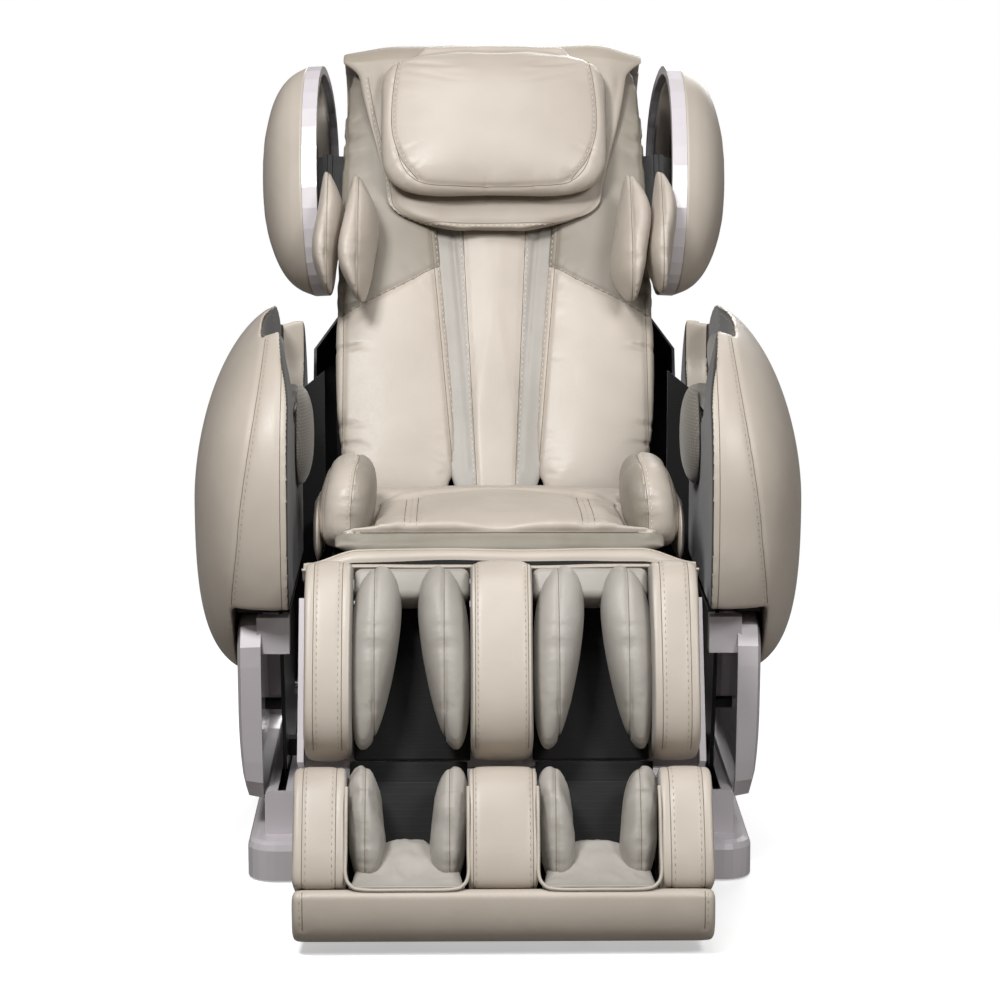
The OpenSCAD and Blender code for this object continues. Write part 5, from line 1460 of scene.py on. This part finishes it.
@dataclass
class LegRest:
    """Calf and foot units: bolsters, airbags, wells and the leather lip."""

    shop: Workshop
    channel_x: float = 0.127         # middle of a calf channel
    channel: tuple[float, float] = (0.0445, 0.2095)
    yoke_yz: tuple[tuple[float, float], ...] = ((-0.118, -0.036), (-0.050, 0.010))
    shade_curtain_yz: tuple[tuple[float, float], ...] = ((-0.041, -0.287), (-0.0345, -0.2565))
    well_x: float = 0.132            # middle of a foot well
    well_inner: float = 0.0485
    well_outer: float = 0.2155
    well_front: float = -0.1715
    sole_z: float = -0.4605
    calf_swell: float = 1.40
    foot_swell: float = 1.60

    def build(self) -> None:
        """Makes every padded piece of the leg rest."""
        self.bolsters("calf_bolsters", "leg")
        self.bolsters("foot_bolsters", "foot")
        self.calf_airbags()
        self.foot_pads()
        self.lip()
        for name, side in SIDES.items():
            self.yoke(name, side)
            self.shade_curtain(name, side)
            self.sole(name, side)
            self.well_piping(name, side)

    def bolsters(self, node: str, body: str) -> None:
        """Three bolsters of a unit with grey inner faces and edge seams, and the lining of its channels in
        near-black, darkened as painted shade.
        """
        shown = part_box(node)
        width = shown[1].x - shown[0].x
        for name, place in (("left", -1), ("middle", 0), ("right", 1)):
            x = place * width * 0.44
            obj = pad_from(node, f"{node}_leather_{name}", LEG, lambda p: abs(p.x - x) < 0.03, levels=3)
            centre = LEG_HOME @ middle(obj.data.vertices)
            edges = []
            for corner, inward in zip(span(obj, STRAIGHT), (1, -1)):
                outer = place != 0 and (corner.x > 0) == (place > 0)
                inset, beside = (14 * MM, 5 * MM) if outer else (7 * MM, 4 * MM)
                rays = around(Vector((corner.x + inward * inset, centre.y, centre.z)), 84, 262, LEG)
                edges.append(Seam(rays, depth=1.4 * MM, width=4 * MM, rows=(inward * beside,)))
            self.shop.sew(obj, body, edges)

            def inner_face(face: Any) -> bool:
                inwards = face.normal.x * (1 if place <= 0 else -1)
                return (inwards if place else abs(inwards)) > 0.55

            self.shop.paint(obj, Slot.GREY_LEATHER, inner_face)
            self.shop.finish_piece(obj, body, Slot.LEATHER, [node] if place < 0 else [], fill=0.9)
        # The channels' lining from the CAD node, near-black so that the channel reads as deep shade: painted
        # shade.
        for name, side in SIDES.items():
            bm = keep_islands(welded(node), lambda p: abs(p.x - side * width * 0.245) < 0.05)
            bmesh.ops.bevel(
                bm, geom=bm.edges[:], offset=3 * MM, segments=3, profile=0.5, affect="EDGES", material=-1
            )
            self.shop.line(to_object(bm, f"{node}_lining_{name}"), body)

    def calf_airbags(self) -> None:
        """Four leaf-shaped calf airbags with a seam down their front edge."""
        for i, spot in enumerate(solid_middles("calf_pads")):
            x = spot.x
            obj = pad_from("calf_pads", f"calf_airbag_{i + 1}", LEG, lambda p: abs(p.x - x) < 5 * MM)
            shift = math.copysign(1 if abs(x) > self.channel_x else -1, x) * 3 * MM

            def swell(place: Vector, normal: Vector) -> Vector:
                return Vector((x + shift + (place.x - x) * self.calf_swell, place.y, place.z))

            reshape(obj, swell)
            remesh(obj, 5.0 * MM)
            seams = [Seam(leaf_ridge(obj, LEG), depth=2.2 * MM, width=3.5 * MM, gather=1.6 * MM)]
            nodes = [] if i else ["calf_pads"]
            self.shop.pads.append(Pad(obj, "leg", seams, 5.0, 6 * MM, 0.8, nodes, slot=Slot.GREY_LEATHER))

    def foot_pads(self) -> None:
        """Foot airbags beside each foot."""
        beside = [p for p in solid_middles("foot_pads") if abs(abs(p.x) - self.well_x) > 0.03]
        for i, spot in enumerate(beside):
            obj = pad_from("foot_pads", f"foot_pad_{i + 1}", LEG, lambda p: (p - spot).length < 4 * MM)
            outer = abs(spot.x) > self.well_x
            wall = math.copysign(self.well_outer if outer else self.well_inner, spot.x)

            def swell(place: Vector, normal: Vector) -> Vector:
                wide = Vector((wall + (place.x - wall) * self.foot_swell, place.y, place.z))
                folds = wrinkle(Vector((place.x, place.y, place.z * 0.5)), 0.036, 3.1 * i)
                return wide + normal * folds * 4.0 * MM

            reshape(obj, swell)
            remesh(obj, 4.5 * MM)
            seams = [Seam(leaf_ridge(obj, LEG), depth=2.2 * MM, width=3.5 * MM, gather=1.6 * MM)]
            self.shop.pads.append(Pad(obj, "foot", seams, 4.0, 4 * MM, 0.7, slot=Slot.GREY_LEATHER))

    def lip(self) -> None:
        """The leather-covered lip under the toes."""
        bm = welded("foot_base")
        bmesh.ops.triangulate(bm, faces=bm.faces[:])
        obj = to_object(bm, "foot_lip_leather")
        remesh(obj, 4.0 * MM)
        relax(obj, 12)

        def tuck(place: Vector, normal: Vector) -> Vector:
            own = LEG_HOME @ place
            under = max(0.0, -0.474 - own.z)
            front = smooth_step(-own.y, 0.02, 0.15)
            own.y += front * (under * 0.30 + under * under * 3.0)
            own.z += under * 0.10 * front
            return LEG @ own

        reshape(obj, tuck)
        seams = []
        for side in (-1, 1):
            edge = [Vector((side * 0.275, -0.18, z)) for z in (-0.466, -0.49, -0.515)]
            seams.append(Seam(pressed(edge, LEG), depth=1.2 * MM, rows=(side * 4 * MM,)))
        self.shop.sew(obj, "foot", seams)
        self.shop.finish_piece(obj, "foot", Slot.LEATHER, ["foot_base"], fill=0.9)

    def block(
        self, name: str, side: int, edges: Sequence[float], corners: Sequence[Sequence[float]], radius: float
    ) -> Piece:
        """A block with rounded edges in the leg rest's frame.

        Args:
            name: the new object's name.
            side: which side of the chair it's on.
            edges: its two X on the right side.
            corners: Y and Z of its lowest and of its highest corner.
            radius: how round its edges are.

        Returns:
            The block.
        """
        low, high = (Vector((x, *yz)) for x, yz in zip(sorted(side * edge for edge in edges), corners))
        size, centre = high - low, (low + high) / 2
        bm = bmesh.new()
        bmesh.ops.create_cube(bm, size=1.0, matrix=Matrix.Diagonal((*size, 1)))
        bmesh.ops.bevel(
            bm, geom=bm.edges[:], offset=radius, segments=5, profile=0.5, affect="EDGES", material=-1
        )
        bmesh.ops.transform(bm, matrix=LEG @ Matrix.Translation(centre), verts=bm.verts[:])
        return to_object(bm, name)

    def yoke(self, name: str, side: int) -> None:
        """The padded panel that closes the top of a calf channel."""
        obj = self.block(f"calf_yoke_{name}", side, self.channel, self.yoke_yz, 12 * MM)
        self.shop.finish_piece(obj, "leg", Slot.GREY_LEATHER, fill=0.6)

    def shade_curtain(self, name: str, side: int) -> None:
        """A near-black sheet behind the gap between the calf unit and the foot unit: painted shade."""
        edges = (self.well_inner, self.well_outer)
        obj = self.block(f"foot_curtain_{name}", side, edges, self.shade_curtain_yz, 1 * MM)
        self.shop.line(obj, "foot")

    def sole(self, name: str, side: int) -> None:
        """The loose leather over the sole roller, rising towards the back of the foot well."""
        across, along = 44, 34
        bm = bmesh.new()
        rows = []
        for j in range(along + 1):
            v = j / along
            row = []
            for i in range(across + 1):
                u = 2 * i / across - 1
                x, y = side * self.well_x + u * (0.079 - 0.019 * v), -0.171 + 0.113 * v
                rise = 0.080 * smooth_step(v, -0.05, 0.8) * (1 - 0.30 * u * u)
                loose = (1 - abs(u) ** 5) * min(1.0, v * 5) * min(1.0, (1 - v) * 6)
                fold = wrinkle(Vector((x, y * 1.3, 0)), 0.040, 6.3 + side) * 5 * MM
                row.append(bm.verts.new(LEG @ Vector((x, y, self.sole_z + 1.5 * MM + rise + fold * loose))))
            rows.append(row)
        weave(bm, rows)
        rim = rows[0] + [r[-1] for r in rows[1:]] + rows[-1][-2::-1] + [r[0] for r in rows[-2:0:-1]]
        below = []
        for vert in rim:
            own = LEG_HOME @ vert.co
            below.append(bm.verts.new(LEG @ Vector((own.x, own.y, self.sole_z))))
        for i in range(len(rim)):
            k = (i + 1) % len(rim)
            bm.faces.new((rim[k], rim[i], below[i], below[k]))
        bm.faces.new(below)
        bmesh.ops.recalc_face_normals(bm, faces=bm.faces[:])
        obj = to_object(bm, f"sole_cushion_{name}")
        self.shop.finish_piece(obj, "foot", Slot.GREY_LEATHER, ["foot_pads"] if side < 0 else [], fill=0.5)

    def well_piping(self, name: str, side: int) -> None:
        """The leather piping round the mouth of a foot well."""
        outer, inner = self.well_outer + 0.5 * MM, self.well_inner - 0.5 * MM
        corner = ((0, -0.318), (0, -0.35), (0, -0.41), (0, -0.442), (0.007, -0.457), (0.024, -0.463))
        own = [(outer - inset, z) for inset, z in corner]
        own += [(self.well_x, -0.4635)] + [(inner + inset, z) for inset, z in reversed(corner)]
        points = [Vector((side * x, self.well_front + 0.4 * max(0.0, z + 0.35), z)) for x, z in own]
        path = [LEG @ p for p in curve_through(points)]
        obj = tube_mesh(f"foot_well_piping_{name}", [path], 2.6 * MM, self.shop.finishes.of(Slot.LEATHER))
        self.shop.finish_piece(obj, "foot", None)


# Studio --------------------------------------------------------------------------------


@dataclass
class Studio:
    """Camera, floor, backdrop light and lamps."""

    lens_mm: float = 113.3
    distance: float = 4.5
    pivot: tuple[float, float, float] = (0.0, -0.35, 1.36)
    pitch: float = 0.1727
    yaw: float = math.radians(-0.8)
    aim: tuple[float, float, float] = (0.0, -0.1, 0.6)
    sky: str = "#f4f2ef"
    sky_strength: float = 0.12
    floor_grey: str = "#f4f4f4"
    bounce_grey: str = "#7d7a76"
    floor_glow: float = 0.45
    floor_fade: tuple[float, float] = (0.75, 1.9)    # from here to there the floor fades to white
    lamps: tuple[tuple[str, tuple[float, float, float], float, float], ...] = (
        ("key", (-1.2, -2.4, 3.3), 104, 0.8),
        ("fill", (1.6, -2.8, 2.7), 56, 0.9),
        ("top", (0.0, -1.2, 3.6), 24, 1.0),
        ("rear", (0.8, 3.2, 2.4), 85, 2.0),
    )

    def camera(self) -> None:
        """Places the camera in front of the chair, a little above it."""
        data = bpy.data.cameras.new("camera")
        data.sensor_width, data.lens = 36.0, self.lens_mm
        camera = add_object("camera", data)
        turn = Matrix.Rotation(self.yaw, 3, "Z")
        camera.location = Vector(self.pivot) + turn @ Vector((0, -self.distance, 0))
        look = turn @ Vector((0, math.cos(self.pitch), -math.sin(self.pitch)))
        camera.rotation_euler = look.to_track_quat("-Z", "Y").to_euler()
        bpy.context.scene.camera = camera

    def lamp(self, name: str, place: tuple[float, float, float], watts: float, size: float) -> None:
        """A square soft lamp aimed at the middle of the chair."""
        data = bpy.data.lights.new(name, "AREA")
        data.energy, data.size = watts, size
        lamp = add_object(name, data)
        lamp.location = place
        aim = Vector(self.aim) - Vector(place)
        lamp.rotation_euler = aim.to_track_quat("-Z", "Y").to_euler()

    def world(self) -> None:
        """An even sky: white to the eye, in gloss and through glass, and softer on the object."""
        world = bpy.data.worlds.new("studio")
        bpy.context.scene.world = world
        world.use_nodes = True
        tree = world.node_tree
        tree.nodes.clear()
        path = add_node(tree, "ShaderNodeLightPath").outputs
        eye = {0: path["Is Camera Ray"], 1: path["Is Transmission Ray"]}
        seen = add_node(tree, "ShaderNodeMath", {}, eye, operation="MAXIMUM").outputs["Value"]
        ambient = plain(tree, "Background", linear(self.sky), self.sky_strength)
        white = plain(tree, "Background", linear("#ffffff"), 1.0)
        add_node(tree, "ShaderNodeOutputWorld", {}, {"Surface": mixed(tree, seen, ambient, white)})

    def floor(self) -> None:
        """A pale round floor that keeps the chair's soft shadow."""
        bm = bmesh.new()
        bmesh.ops.create_circle(bm, cap_ends=True, segments=96, radius=30.0)
        floor = to_object(bm, "studio_floor")
        material, tree, place = new_tree("pale_floor")
        path = add_node(tree, "ShaderNodeLightPath").outputs
        away = add_node(tree, "ShaderNodeVectorMath", {}, {0: place}, operation="LENGTH").outputs["Value"]
        near, beyond = self.floor_fade
        far = add_node(
            tree, "ShaderNodeMapRange", {"From Min": near, "From Max": beyond}, {"Value": away},
            interpolation_type="SMOOTHSTEP",
        ).outputs["Result"]
        paper = plain(tree, "BsdfDiffuse", linear(self.floor_grey))
        muted = plain(tree, "BsdfDiffuse", linear(self.bounce_grey))
        glow = plain(tree, "Emission", linear("#ffffff"), self.floor_glow)
        lit = add_node(tree, "ShaderNodeAddShader", {}, {0: paper, 1: glow}).outputs["Shader"]
        shown = mixed(tree, far, lit, plain(tree, "Emission", linear("#ffffff"), 1.0))
        surface = mixed(tree, path["Is Camera Ray"], muted, shown)
        add_node(tree, "ShaderNodeOutputMaterial", {}, {"Surface": surface})
        floor.data.materials.append(material)

    def build(self) -> None:
        """Sets up the whole studio."""
        self.camera()
        self.world()
        self.floor()
        for name, place, watts, size in self.lamps:
            self.lamp(name, place, watts, size)
        bpy.context.scene.view_settings.view_transform = "Standard"


def main() -> None:
    """Builds the studio and every piece of the chair in order."""
    logging.basicConfig(level=logging.INFO, format="%(message)s")
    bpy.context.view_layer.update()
    Studio().build()
    finishes = Finishes()
    finishes.dress_frame()
    shop = Workshop(finishes)
    for assembly in (Arms(shop), Seat(shop), Backrest(shop), LegRest(shop)):
        assembly.build()
    shop.fill_with_air()
    shop.sew_pads()


if __name__ == "__main__":
    main()
